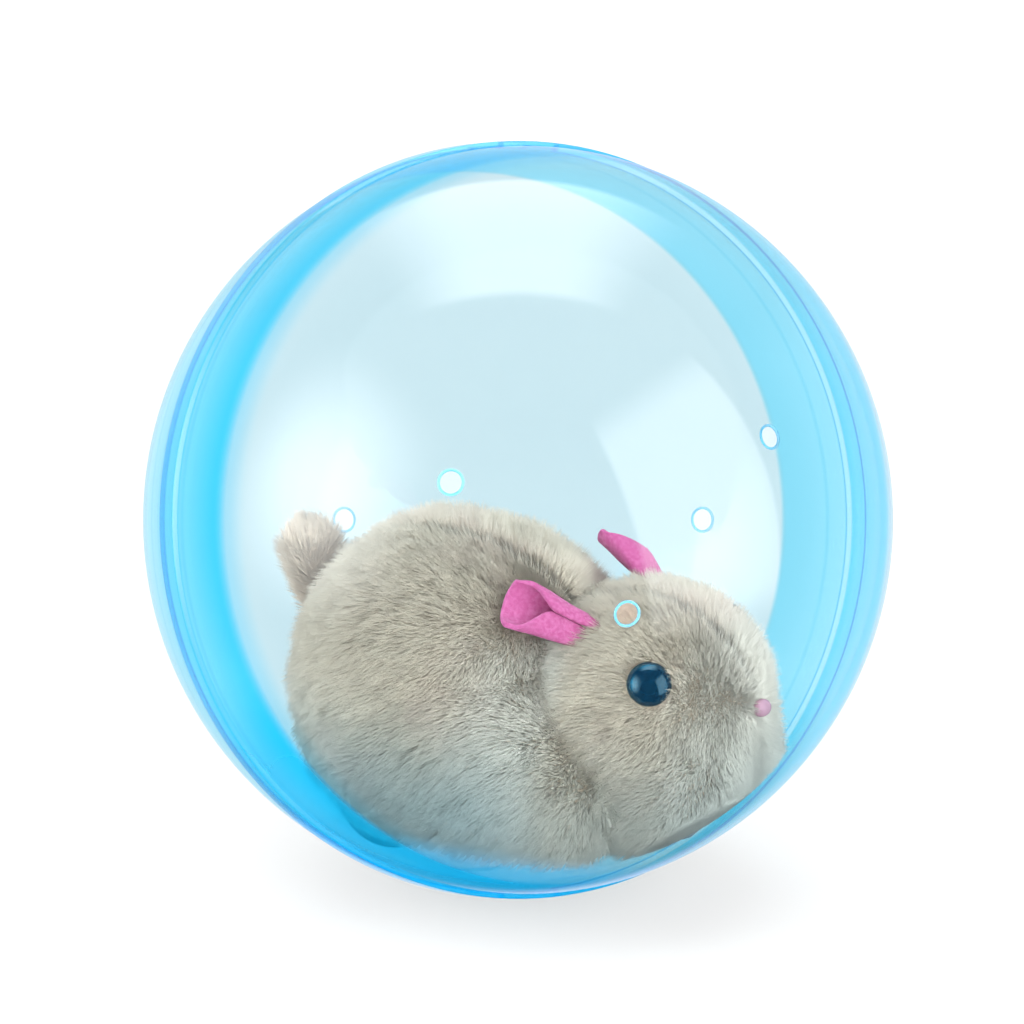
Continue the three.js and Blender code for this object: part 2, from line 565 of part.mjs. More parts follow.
// Cover: a lid over the plan with a hump round the gears and a hump over the motor
const COVER_Z = [DECK_Z + GAP, DECK_Z + GAP + COVER_H];
const HUMP_Y = [CASE_Y[0] - GAP - SHELL_T, LID_Y[1] + GAP + SHELL_T];
const MOTOR_Y = MOTOR_FACE - MOTOR_L - GAP - SHELL_T;
const motorHalf = MOTOR_W / 2 + GAP;
function humps(grow, top) {
  const gears = join(...caseCircles(CASE_R + GAP + grow).map((set) =>
    solid(slabY(hullOfCircles(set), HUMP_Y[0] + SHELL_T - grow, HUMP_Y[1] - SHELL_T + grow))));
  const crown = MOTOR.y + MOTOR_H / 2 + GAP - HUMP_ROUND;
  const can = hullOfCircles([-1, 1].flatMap((side) => [COVER_Z[0] - HUMP_ROUND, crown].map((z) =>
    [MOTOR.x + side * (motorHalf - HUMP_ROUND), z, HUMP_ROUND + grow])));
  const motor = solid(slabY(can, MOTOR_Y + SHELL_T - grow, HUMP_Y[0] + 2 * SHELL_T));
  return join(gears, motor).intersect(box(-BALL_D, BALL_D, -BALL_D, BALL_D, top, BALL_D));
}

function chassisCover() {
  const deckTop = COVER_Z[1];
  const lid = join(plan(0, ...COVER_Z), humps(SHELL_T, COVER_Z[0]));
  const rearRoom = box(REAR_X + SHELL_T, BAY_X + SHELL_T, REAR_Y[0] + SHELL_T, REAR_Y[1] - SHELL_T,
    COVER_Z[0] - 1, deckTop - SHELL_T);
  const bayRoom = box(BAY_X, BAY_FRONT - SHELL_T, -BAY_HALF + SHELL_T, BAY_HALF - SHELL_T,
    COVER_Z[0] - 1, deckTop - SHELL_T);
  return cut(lid, rearRoom, bayRoom, humps(0, COVER_Z[0] - 1),
    ...BOSSES.map(([x, y]) => rodZ(x, y, SCREW_R + BORE_GAP, COVER_Z[0] - 1, deckTop + 1)));
}
place('chassis_cover', chassisCover(), WHITE_PLASTIC);

// Screws, heads up over the cover and one head down under the door
function screw(x, y, seat, up) {
  const crown = SCREW_HEAD_R * SCREW_CROWN;
  const profile = [[0, SCREW_HEAD_H], [crown, SCREW_HEAD_H], [SCREW_HEAD_R, 0], [SCREW_R, 0],
    [SCREW_R, SCREW_TIP - SCREW_L], [0, -SCREW_L]].map(([r, z]) => point(r, z * up));
  const turned = new THREE.LatheGeometry(profile, 12).rotateX(Math.PI / 2);
  return solid(turned.translate(x, y, seat + up * GAP));
}
BOSSES.forEach(([x, y], i) => place(`cover_screw_${i + 1}`, screw(x, y, COVER_Z[1], 1), STEEL));
place('door_screw', screw(DOOR_SCREW_X, 0, FLOOR_Z, -1), STEEL);

// Battery door with its screw ear
place('battery_door', cut(
  doorOutline(0, FLOOR_Z, FLOOR_TOP),
  rodZ(DOOR_SCREW_X, 0, SCREW_R + BORE_GAP, FLOOR_Z - 1, FLOOR_TOP + 1),
  ...[-1, 0, 1].map((i) => box(DOOR_X[0] + GRIP_INSET, DOOR_X[1] - GRIP_INSET,
    i * GRIP_PITCH - GRIP_W / 2, i * GRIP_PITCH + GRIP_W / 2, FLOOR_Z - 1, FLOOR_Z + GRIP_DEEP)),
), WHITE_PLASTIC);

// Cells and their contacts
function cell(x, up) {
  const half = CELL_L / 2;
  const top = half - CELL_NUB;
  const edge = CELL_R - CELL_ROUND;
  const profile = [[0, -half], [edge, -half], [CELL_R, CELL_ROUND - half], [CELL_R, top - CELL_ROUND],
    [edge, top], [CELL_NUB_R, top], [CELL_NUB_R, half], [0, half]];
  return turnedY(profile.map(([r, y]) => point(r, y * up)), x, CELL_Z, 20);
}
const CELL_X = [0, 1].map((i) => BAY_IN[0] + GAP + CELL_R + i * (CELL_D + GAP));
const CONTACT_Y = CELL_L / 2 + GAP;
const CONTACT_H = CELL_D * 0.35;
place('battery_1', cell(CELL_X[0], 1), CELL_WRAP);
place('battery_2', cell(CELL_X[1], -1), CELL_WRAP);
place('contact_bridge', slabY(
  roundRect(CELL_X[0] - CONTACT_H, CELL_Z - CONTACT_H, CELL_X[1] + CONTACT_H, CELL_Z + CONTACT_H, 1),
  CONTACT_Y, CONTACT_Y + CONTACT_T, 3), STEEL);
CELL_X.forEach((x, i) => place(`contact_tab_${i + 1}`, slabY(
  roundRect(x - CONTACT_H, CELL_Z - CONTACT_H, x + CONTACT_H, CELL_Z + CONTACT_H, 1),
  -CONTACT_Y - CONTACT_T, -CONTACT_Y, 3), STEEL));

// Front roller on its pin
place('front_roller', cut(
  solid(new THREE.LatheGeometry([
    [0, -ROLLER_W / 2], [ROLLER_R - ROLLER_ROUND, -ROLLER_W / 2], [ROLLER_R, ROLLER_ROUND - ROLLER_W / 2],
    [ROLLER_R, ROLLER_W / 2 - ROLLER_ROUND], [ROLLER_R - ROLLER_ROUND, ROLLER_W / 2], [0, ROLLER_W / 2],
  ].map(([r, y]) => point(r, y)), 20).translate(ROLLER.x, 0, ROLLER.y)),
  rodY(ROLLER.x, ROLLER.y, ROLLER_PIN_R + BORE_GAP, -ROLLER_W, ROLLER_W),
), GREY_PLASTIC);
place('roller_pin', rodY(ROLLER.x, ROLLER.y, ROLLER_PIN_R, -CHEEK_OUT, CHEEK_OUT, 5), STEEL);

// Slide switch: a can over the floor slot and a knob that hangs through it
const SWITCH_Z = FLOOR_TOP + GAP;
const FLANGE = [SWITCH_Z + GAP, SWITCH_Z + GAP + FLANGE_H];
const CAN_IN = SWITCH_W - 2 * SWITCH_T;
place('switch_body', cut(
  box(SWITCH_X, SWITCH_X + SWITCH_L, ...across(SWITCH_W), SWITCH_Z, SWITCH_Z + SWITCH_H),
  box(...SWITCH_IN, ...across(CAN_IN), SWITCH_Z - 1, FLANGE[1] + GAP),
), STEEL);
place('switch_knob', join(
  box(KNOB_X, KNOB_X + KNOB_L, ...across(CAN_IN - 2 * GAP), ...FLANGE),
  box(KNOB_X, KNOB_X + KNOB_L, ...across(KNOB_W), FLOOR_Z - KNOB_DROP, FLANGE[1]),
), BLACK_PLASTIC);

// Plush forms: a ball of directions swelled to each half size, flatter below, kept inside the ball
const PLUSH_REACH = INNER_R - PLUSH_GAP;
const smooth = (t) => THREE.MathUtils.smoothstep(t, 0, 1);
function swelled(sides, rings, shape) {
  const form = new THREE.SphereGeometry(1, sides, rings).rotateZ(Math.PI / 2);
  const spots = form.attributes.position;
  const way = new THREE.Vector3();
  for (let i = 0; i < spots.count; i += 1) {
    way.fromBufferAttribute(spots, i);
    const spot = shape(way.clone());
    if (spot.length() > PLUSH_REACH) spot.setLength(PLUSH_REACH);
    spots.setXYZ(i, spot.x, spot.y, spot.z);
  }
  return solid(form);
}

const roundness = (way, power) =>
  way.toArray().reduce((sum, part) => sum + Math.abs(part) ** power, 0) ** (-1 / power);

const bodyForm = (grow) => swelled(32, 24, (way) => {
  const low = smooth(0.5 - 1.4 * way.z);
  const r = roundness(way, 2.3 + low * (0.2 + 3 * smooth(0.5 + way.x)));
  const long = way.x > 0 ? BODY.front + BODY.chest * low : BODY.rear - BODY.tuck * Math.max(0, -way.z);
  const half = BODY.half + BODY.flare * low;
  const tall = way.z > 0 ? BODY.top : BODY.bottom;
  const size = new THREE.Vector3(long + grow, half + grow, tall + grow);
  return size.multiply(way).multiplyScalar(r).add(new THREE.Vector3(BODY.x, 0, BODY_Z));
});

function headPoint(way, grow) {
  const low = smooth(-2 * way.z);
  const r = roundness(way, 2.2 + 1.2 * low);
  const long = way.x > 0 ? HEAD.front : HEAD.rear;
  const taper = 1 - HEAD.snout * Math.max(0, way.x) ** 2;
  const tall = way.z > 0 ? HEAD.top : HEAD.bottom;
  const size = new THREE.Vector3(long + grow, (HEAD.half + grow) * taper, (tall + grow) * taper);
  return size.multiply(way).multiplyScalar(r).add(new THREE.Vector3(HEAD.x, 0, HEAD_Z));
}
const headForm = (grow) => swelled(28, 20, (way) => headPoint(way, grow));

// The room that the carriage takes inside the plush, open at the hem
function carriageRoom() {
  const deep = HEM_Z - BALL_D / 4;
  const wellTop = AXLE.y + WHEEL_R + WELL_GAP;
  const wellY = WHEEL_OUT + WELL_GAP;
  const noseY = CHEEK_OUT + FIT_GAP;
  const noseX = ROLLER.x + ROLLER_R + WELL_GAP;
  return join(
    plan(FIT_GAP, deep, COVER_Z[1] + SCREW_HEAD_H + 2 * FIT_GAP),
    humps(SHELL_T + FIT_GAP, COVER_Z[0]),
    box(AXLE.x - WHEEL_R - WELL_GAP, BAY_X, -wellY, wellY, deep, wellTop),
    solid(slabY(cheekOutline(FIT_GAP), -noseY, noseY)),
    rodY(ROLLER.x, ROLLER.y, ROLLER_R + WELL_GAP, -CHEEK_OUT, CHEEK_OUT),
    box(BAY_FRONT, noseX, -noseY, noseY, deep, ROLLER.y),
    box(BAY_FRONT, ARM_END, -CHEEK_OUT, CHEEK_OUT, deep, FLOOR_TOP + SCREW_L + FIT_GAP),
  );
}

const room = carriageRoom();
const hem = box(-BALL_D, BALL_D, -BALL_D, BALL_D, HEM_Z - BALL_D, HEM_Z);
const bodyGrown = bodyForm(GAP);
const headGrown = headForm(GAP);
place('plush_body', cut(bodyForm(0), hem, room), FUR);
place('plush_head', cut(headForm(0), bodyGrown, hem, room), FUR);

// Tail tuft: a turned teardrop that stands up behind the rump
const TAIL_STEPS = 8;
function tail() {
  const way = new THREE.Vector3(-TAIL.back, 0, TAIL.tall);
  const length = way.length();
  const profile = Array.from({ length: TAIL_STEPS + 1 }, (_, i) => {
    const along = i / TAIL_STEPS;
    const r = TAIL.r * TAIL.fat * Math.sqrt(along) * (1 - along) ** TAIL.tip;
    return point(i === TAIL_STEPS ? 0 : r, length * (1 - along));
  });
  const form = new THREE.LatheGeometry(profile, 16);
  const upright = new THREE.Vector3(0, 1, 0);
  form.applyQuaternion(new THREE.Quaternion().setFromUnitVectors(upright, way.normalize()));
  form.translate(BODY.x - BODY.rear + TAIL.inset, 0, BODY_Z + TAIL.up);
  return cut(solid(form), bodyGrown);
}
place('plush_tail', tail(), TAN_FUR);

// Eyes and nose, domed buttons sunk into the head
function button(spot, side = 1) {
  const way = new THREE.Vector3(...spot.way).normalize();
  const centre = headPoint(way, 0).addScaledVector(way, -spot.sunk);
  const dome = new THREE.SphereGeometry(spot.r, 12, 8).translate(centre.x, side * centre.y, centre.z);
  return cut(solid(dome), headGrown);
}
place('eye_left', button(EYE), EYE_BLACK);
place('eye_right', button(EYE, -1), EYE_BLACK);
place('nose', button(NOSE), PINK);

// Ears: felt leaves, folded along their length and laid back
function ear(side) {
  const leaf = new THREE.BoxGeometry(EAR.l, EAR.w, EAR.t, 6, 8, 1);
  const spots = leaf.attributes.position;
  for (let i = 0; i < spots.count; i += 1) {
    const along = spots.getX(i) / EAR.l + 0.5;
    const across = spots.getY(i) * (0.55 + 0.9 * along - 0.55 * along ** 3);
    const fold = EAR.fold * (1.3 - along);
    const bend = (2 * fold * across) / EAR.w;
    const r = EAR.w / (2 * fold) - spots.getZ(i);
    spots.setXYZ(i, EAR.l * along, r * Math.sin(bend), EAR.w / (2 * fold) - r * Math.cos(bend));
  }
  leaf.rotateX(radians(EAR.roll)).rotateY(-radians(EAR.rise)).rotateZ(radians(EAR.turn));
  leaf.translate(HEAD.x - EAR.back, HEAD.half * EAR.spread, HEAD_Z + HEAD.top - EAR.sunk);
  if (side < 0) leaf.scale(1, -1, 1);
  return cut(solid(leaf), headGrown, bodyGrown);
}
place('ear_left', ear(1), PINK_FELT);
place('ear_right', ear(-1), PINK_FELT);

export default model;
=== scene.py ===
"""Looks of the automatic rolling ball toy: a clear blue ball with a plush hamster inside it."""

import json
import logging
import math
from dataclasses import dataclass, field
from enum import Enum
from typing import Callable, Iterable, Sequence

import bmesh
import bpy
import numpy as np
from mathutils import Matrix, Vector, noise

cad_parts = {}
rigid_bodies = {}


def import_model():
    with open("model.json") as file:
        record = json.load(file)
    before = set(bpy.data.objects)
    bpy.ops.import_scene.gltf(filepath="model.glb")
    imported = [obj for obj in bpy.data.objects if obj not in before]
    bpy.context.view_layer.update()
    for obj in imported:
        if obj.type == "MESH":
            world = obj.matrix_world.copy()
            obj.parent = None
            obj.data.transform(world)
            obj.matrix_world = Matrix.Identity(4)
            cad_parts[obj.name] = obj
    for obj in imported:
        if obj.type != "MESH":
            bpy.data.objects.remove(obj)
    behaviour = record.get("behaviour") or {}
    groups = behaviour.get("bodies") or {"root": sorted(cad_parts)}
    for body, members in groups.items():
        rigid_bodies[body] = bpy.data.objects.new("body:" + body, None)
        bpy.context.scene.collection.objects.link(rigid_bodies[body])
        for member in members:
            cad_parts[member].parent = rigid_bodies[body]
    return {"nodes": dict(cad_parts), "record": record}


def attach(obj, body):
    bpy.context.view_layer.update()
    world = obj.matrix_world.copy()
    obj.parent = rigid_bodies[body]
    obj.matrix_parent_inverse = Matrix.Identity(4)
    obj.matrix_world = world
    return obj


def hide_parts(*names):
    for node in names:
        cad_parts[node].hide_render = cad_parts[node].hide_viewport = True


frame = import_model()

LOG = logging.getLogger("rolling_ball")
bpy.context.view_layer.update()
MM = 0.001
WHITE = (1.0, 1.0, 1.0)
UNTURNED = Matrix.Identity(4)

Pair = tuple[float, float]
Triple = tuple[float, float, float]
Quad = tuple[float, float, float, float]
Colour = Triple
Nap = Callable[[Vector], Vector]
Share = Callable[[Vector], float]

BMesh = bmesh.types.BMesh
Material = bpy.types.Material
Node = bpy.types.Node
Object = bpy.types.Object
Socket = bpy.types.NodeSocket


def smooth(t: float) -> float:
    """Returns the smoothstep of t between 0 and 1."""
    t = min(1.0, max(0.0, t))
    return t * t * (3.0 - 2.0 * t)


def to_linear(red: int, green: int, blue: int) -> Colour:
    """Turns screen colour into linear light.

    Args:
        red: Red from 0 to 255.
        green: Green from 0 to 255.
        blue: Blue from 0 to 255.

    Returns:
        The linear colour.
    """

    def one(part: int) -> float:
        """Returns one part of the colour in linear light, by the sRGB curve."""
        share = part / 255.0
        return share / 12.92 if share <= 0.04045 else ((share + 0.055) / 1.055) ** 2.4

    return one(red), one(green), one(blue)


class Side(Enum):
    """Left or right of the animal, as the sign of Y."""

    LEFT = 1
    RIGHT = -1


class Half(Enum):
    """Front or rear shell, as the sign of the height over the seam."""

    FRONT = 1
    REAR = -1


# Materials


class Nodes:
    """A node tree that is filled by short calls."""

    def __init__(self, tree: bpy.types.NodeTree) -> None:
        """Takes the tree that is filled."""
        self.tree = tree

    def put(self, socket: Socket, value: object) -> None:
        """Sets a socket to a constant, or links it to an output.

        Args:
            socket: Input to fill.
            value: A number, colour, vector, name, object or output socket.
        """
        if isinstance(value, Socket):
            self.tree.links.new(value, socket)
        elif isinstance(value, tuple) and socket.type == "RGBA":
            socket.default_value = (*value, 1.0)
        else:
            socket.default_value = value

    def add(self, kind: str, inputs: dict | None = None, **settings: object) -> Node:
        """Adds a node.

        Args:
            kind: Node type, where a bare name means a shader node.
            inputs: Values by socket name or number.
            settings: Properties of the node.

        Returns:
            The node.
        """
        node = self.tree.nodes.new(kind if "Node" in kind else f"ShaderNode{kind}")
        for name, value in settings.items():
            setattr(node, name, value)
        for key, value in (inputs or {}).items():
            self.put(node.inputs[key], value)
        return node

    def math(self, operation: str, *values: object) -> Socket:
        """Returns the result of a Math node on the values."""
        return self.add("Math", dict(enumerate(values)), operation=operation).outputs[0]

    def times(self, first: object, second: object) -> Socket:
        """Returns the product of two numbers."""
        return self.math("MULTIPLY", first, second)

    def vector(self, operation: str, *values: object) -> Socket:
        """Returns the result of a Vector Math node on the values."""
        node = self.add("VectorMath", dict(enumerate(values)), operation=operation)
        return node.outputs["Value" if operation in ("DOT_PRODUCT", "LENGTH") else "Vector"]

    def ease(self, value: object, low: float, high: float, start: float = 0.0, end: float = 1.0) -> Socket:
        """Returns a value that goes smoothly from start at low to end at high."""
        inputs = {0: value, 1: low, 2: high, 3: start, 4: end}
        return self.add("MapRange", inputs, interpolation_type="SMOOTHSTEP").outputs[0]


class Graph(Nodes):
    """The node tree of one material."""

    def __init__(self, name: str) -> None:
        """Starts an empty tree with an output node.

        Args:
            name: Name of the material.
        """
        self.material = bpy.data.materials.new(name)
        self.material.use_nodes = True
        super().__init__(self.material.node_tree)
        self.tree.nodes.clear()
        self.output = self.add("OutputMaterial")

    def mix(self, share: object, first: object, second: object, blend: str = "MIX") -> Socket:
        """Returns a colour mixed of two, with that share of the second."""
        node = self.add("Mix", {0: share, 6: first, 7: second}, data_type="RGBA", blend_type=blend)
        return node.outputs[2]

    def blend(self, share: object, first: Node, second: Node) -> Node:
        """Returns a shader mixed of two, with that share of the second."""
        return self.add("MixShader", {0: share, 1: first.outputs[0], 2: second.outputs[0]})

    def turned(self, normal: Socket, start: str, end: str) -> Socket:
        """Returns a normal taken from one space, WORLD or OBJECT, to the other."""
        spaces = {"vector_type": "NORMAL", "convert_from": start, "convert_to": end}
        return self.add("VectorTransform", {0: normal}, **spaces).outputs[0]

    def attribute(self, name: str, part: str = "Fac") -> Socket:
        """Returns an attribute of the mesh."""
        return self.add("Attribute", attribute_name=name).outputs[part]

    def place(self) -> Socket:
        """Returns the object coordinates."""
        return self.add("TexCoord").outputs["Object"]

    def clouds(self, scale: float, detail: float = 3.0) -> Socket:
        """Returns a noise of about that many cells in a metre."""
        inputs = {"Vector": self.place(), "Scale": scale, "Detail": detail}
        return self.add("TexNoise", inputs).outputs[0]

    def bump(self, height: Socket, depth: float) -> Socket:
        """Returns a normal bumped by the height, in metres of depth."""
        return self.add("Bump", {"Height": height, "Distance": depth, "Strength": 1.0}).outputs[0]

    def done(self, shader: Node) -> Material:
        """Ends the tree in that shader and returns the material."""
        self.tree.links.new(shader.outputs[0], self.output.inputs["Surface"])
        return self.material


@dataclass(frozen=True)
class ClearPlastic:
    """Clear tinted plastic, deeper in colour round the belt at the seam, with painted shade low down: a
    milky, deeper blue on the lower belt.

    The outer face of a wall carries the whole tint, so that the wall's two faces show one edge.

    Args:
        pole: Unit vector of the front pole.
        down: Unit vector towards the painted shade, the milky part of the belt.
        dome: What the wall of the dome lets through.
        front_belt: What the belt lets through at its front edge.
        rear_belt: What the belt lets through behind the seam.
        band: What the proud rim band lets through.
        line: What the darker moulded lines let through of that.
        lamp: What one face lets through of the light that falls on the inside.
        shade_milk: Colour of the painted shade, a milky blue low on the belt.
        front_edge: Front edge of the belt over the seam, in metres.
        rear_edge: Rear edge of the belt, in metres.
        rim: Rear and front edge of the rim band, in metres.
        lines: Heights of the darker moulded lines over the seam, in metres.
        front_soft: Half width of the soft front edge, in metres.
        front_tail: Reach in metres and share of the faint tint in front of that edge.
        rear_soft: Fade of the rear edge behind it and in front of it, in metres.
        rim_soft: Half fade of the band's rear edge and fade of its front edge, in metres.
        near_rim: Share of the front tint beside the rim band.
        line_half: Half width of a line's core and of its fade, in metres.
        line_share: Strength of the lines.
        outside: Radius past which a face is an outer one, in metres.
        outside_soft: Half width of that limit, in metres.
        facing_out: Facing at which the tint of the steps ends and the whole tint starts.
        step_tint: Share of the tint on the steps of the rim.
        lamp_share: How far lamp light passes as the lamp colour says.
        belt_shade: Where the painted shade on the belt starts and is full along down, in metres, and its
            share.
        spill_shade: The same for the painted shade in front of the belt.
        spill_shade_edge: Where that painted shade starts and is full over the seam, in metres.
        belt_shade_soft: Half width of the front edge of the painted shade on the belt, in metres.
        shade_lit: Share of the painted shade that lamp light meets.
        gloss: Roughness of the polish.
        normal_gloss: Reflection seen straight on.
        edge_gloss: How far the reflection rises towards the rim of the view.
        inner_gloss: Share of the reflection on the inner faces.
    """

    pole: Vector
    down: Vector
    dome: Colour = (0.743, 0.865, 0.904)
    front_belt: Colour = (0.035, 0.68, 1.0)
    rear_belt: Colour = (0.31, 0.78, 0.96)
    band: Colour = (0.13, 0.71, 0.96)
    line: Colour = (0.5, 0.88, 0.96)
    lamp: Colour = (0.965, 0.985, 0.992)
    # Painted shade: the milky blue that deepens the lower belt
    shade_milk: Colour = (0.0, 0.5, 0.95)
    front_edge: float = 17.0 * MM
    rear_edge: float = -20.8 * MM
    rim: Pair = (-3.2 * MM, 2.5 * MM)
    lines: tuple[float, ...] = (-21.0 * MM, -9.9 * MM, 5.0 * MM)
    front_soft: float = 2.6 * MM
    front_tail: Pair = (6.0 * MM, 0.3)
    rear_soft: Pair = (1.2 * MM, 0.6 * MM)
    rim_soft: Pair = (0.2 * MM, 0.3 * MM)
    near_rim: float = 0.45
    line_half: Pair = (0.15 * MM, 0.8 * MM)
    line_share: float = 0.45
    outside: float = 61.5 * MM
    outside_soft: float = 0.1 * MM
    facing_out: Pair = (0.4, 0.9)
    step_tint: float = 0.72
    lamp_share: float = 0.9
    belt_shade: Triple = (22.0 * MM, 52.0 * MM, 0.4)
    spill_shade: Triple = (52.0 * MM, 57.0 * MM, 0.3)
    spill_shade_edge: Pair = (34.0 * MM, 20.0 * MM)
    belt_shade_soft: float = 1.0 * MM
    shade_lit: float = 0.1
    gloss: float = 0.03
    normal_gloss: float = 0.04
    edge_gloss: float = 0.6
    inner_gloss: float = 0.15

    def tint(self, g: Graph, over: Socket) -> Socket:
        """Colours the wall by its height over the seam.

        Args:
            g: Tree of the material.
            over: Height over the seam.

        Returns:
            What the wall lets through.
        """
        edge, soft = self.front_edge, self.front_soft
        reach, faint = self.front_tail
        crisp = g.ease(over, edge + soft, edge - soft)
        front = g.math("MAXIMUM", crisp, g.ease(over, edge + reach, edge, 0.0, faint))
        behind, before = self.rear_soft
        rear = g.ease(over, self.rear_edge - behind, self.rear_edge + before)
        tint = g.mix(g.times(front, rear), self.dome, self.rear_belt)
        low, high = self.rim
        low_soft, high_soft = self.rim_soft
        from_low = g.ease(over, low - low_soft, low + low_soft)
        tint = g.mix(g.times(from_low, g.ease(over, high + high_soft, high)), tint, self.band)
        past_rim = g.ease(over, high - high_soft, high + high_soft)
        deep = g.times(g.ease(over, high, edge, self.near_rim, 1.0), past_rim)
        tint = g.mix(g.times(front, deep), tint, self.front_belt)
        core, fade = self.line_half
        for line in self.lines:
            gap = g.math("ABSOLUTE", g.math("SUBTRACT", over, line))
            tint = g.mix(g.ease(gap, fade, core, 0.0, self.line_share), tint, self.line, "MULTIPLY")
        return tint

    def painted_shade(self, g: Graph, over: Socket) -> Socket:
        """Places the painted shade, a milky deeper blue, low on the belt and a little in front of it.

        Args:
            g: Tree of the material.
            over: Height over the seam.

        Returns:
            Share of the milk.
        """
        # Painted shade low on the belt, along a fixed way down at rest
        below = g.vector("DOT_PRODUCT", g.place(), tuple(self.down))
        edge, soft = self.front_edge, self.belt_shade_soft
        on_belt = g.times(g.ease(over, edge + soft, edge - soft), g.ease(over, *self.rim))
        start, full, share = self.belt_shade
        belt_shade = g.times(on_belt, g.ease(below, start, full, 0.0, share))
        start, full, share = self.spill_shade
        spill_shade = g.times(g.ease(over, *self.spill_shade_edge), g.ease(below, start, full, 0.0, share))
        return g.math("MAXIMUM", belt_shade, spill_shade)

    def build(self) -> Material:
        """Builds the material.

        Returns:
            The material.
        """
        g = Graph("clear_blue_plastic")
        over = g.vector("DOT_PRODUCT", g.place(), tuple(self.pole))
        reach = g.vector("LENGTH", g.place())
        outer = g.ease(reach, self.outside - self.outside_soft, self.outside + self.outside_soft)
        normal = g.turned(g.add("NewGeometry").outputs["Normal"], "WORLD", "OBJECT")
        flat = g.vector("DOT_PRODUCT", normal, g.vector("NORMALIZE", g.place()))
        whole = g.ease(g.math("ABSOLUTE", flat), *self.facing_out, self.step_tint, 1.0)
        tint = g.mix(g.times(outer, whole), WHITE, self.tint(g, over))
        path = g.add("LightPath")
        lit = g.math("MAXIMUM", path.outputs["Is Shadow Ray"], path.outputs["Is Diffuse Ray"])
        tint = g.mix(g.times(lit, self.lamp_share), tint, self.lamp)
        # Painted shade: a milky, deeper blue low on the belt, which lamp light mostly passes
        painted_shade = g.times(self.painted_shade(g, over), g.times(outer, g.ease(lit, 0.0, 1.0, 1.0, self.shade_lit)))
        clear = g.add("BsdfTransparent", {"Color": tint})
        near = g.add("BsdfDiffuse", {"Color": self.shade_milk})
        through = g.add("BsdfTranslucent", {"Color": self.shade_milk})
        body = g.blend(painted_shade, clear, g.blend(0.5, near, through))
        # Reflection that rises towards the rim of the view, by Schlick's fifth power
        facing = g.add("LayerWeight", {"Blend": 0.5}).outputs["Facing"]
        rise = g.times(g.math("POWER", facing, 5.0), self.edge_gloss)
        polish = g.math("ADD", rise, self.normal_gloss)
        share = g.times(polish, g.ease(outer, 0.0, 1.0, self.inner_gloss, 1.0))
        shine = g.add("BsdfGlossy", {"Color": WHITE, "Roughness": self.gloss})
        return g.done(g.blend(share, body, shine))


@dataclass(frozen=True)
class RimFrost:
    """The frosted blue moulded edge of an air hole.

    Args:
        colour: Colour of the frost.
        clear: What the rest of the edge lets through.
        share: How much of the edge is frost.
        rough: Roughness of the frost.
    """

    colour: Colour = (0.14, 0.52, 0.74)
    clear: Colour = (0.72, 0.9, 0.95)
    share: float = 0.65
    rough: float = 0.25

    def build(self) -> Material:
        """Builds the material.

        Returns:
            The material.
        """
        g = Graph("hole_rim_frost")
        clear = g.add("BsdfTransparent", {"Color": self.clear})
        frost = g.add("BsdfPrincipled", {"Base Color": self.colour, "Roughness": self.rough})
        return g.done(g.blend(self.share, clear, frost))


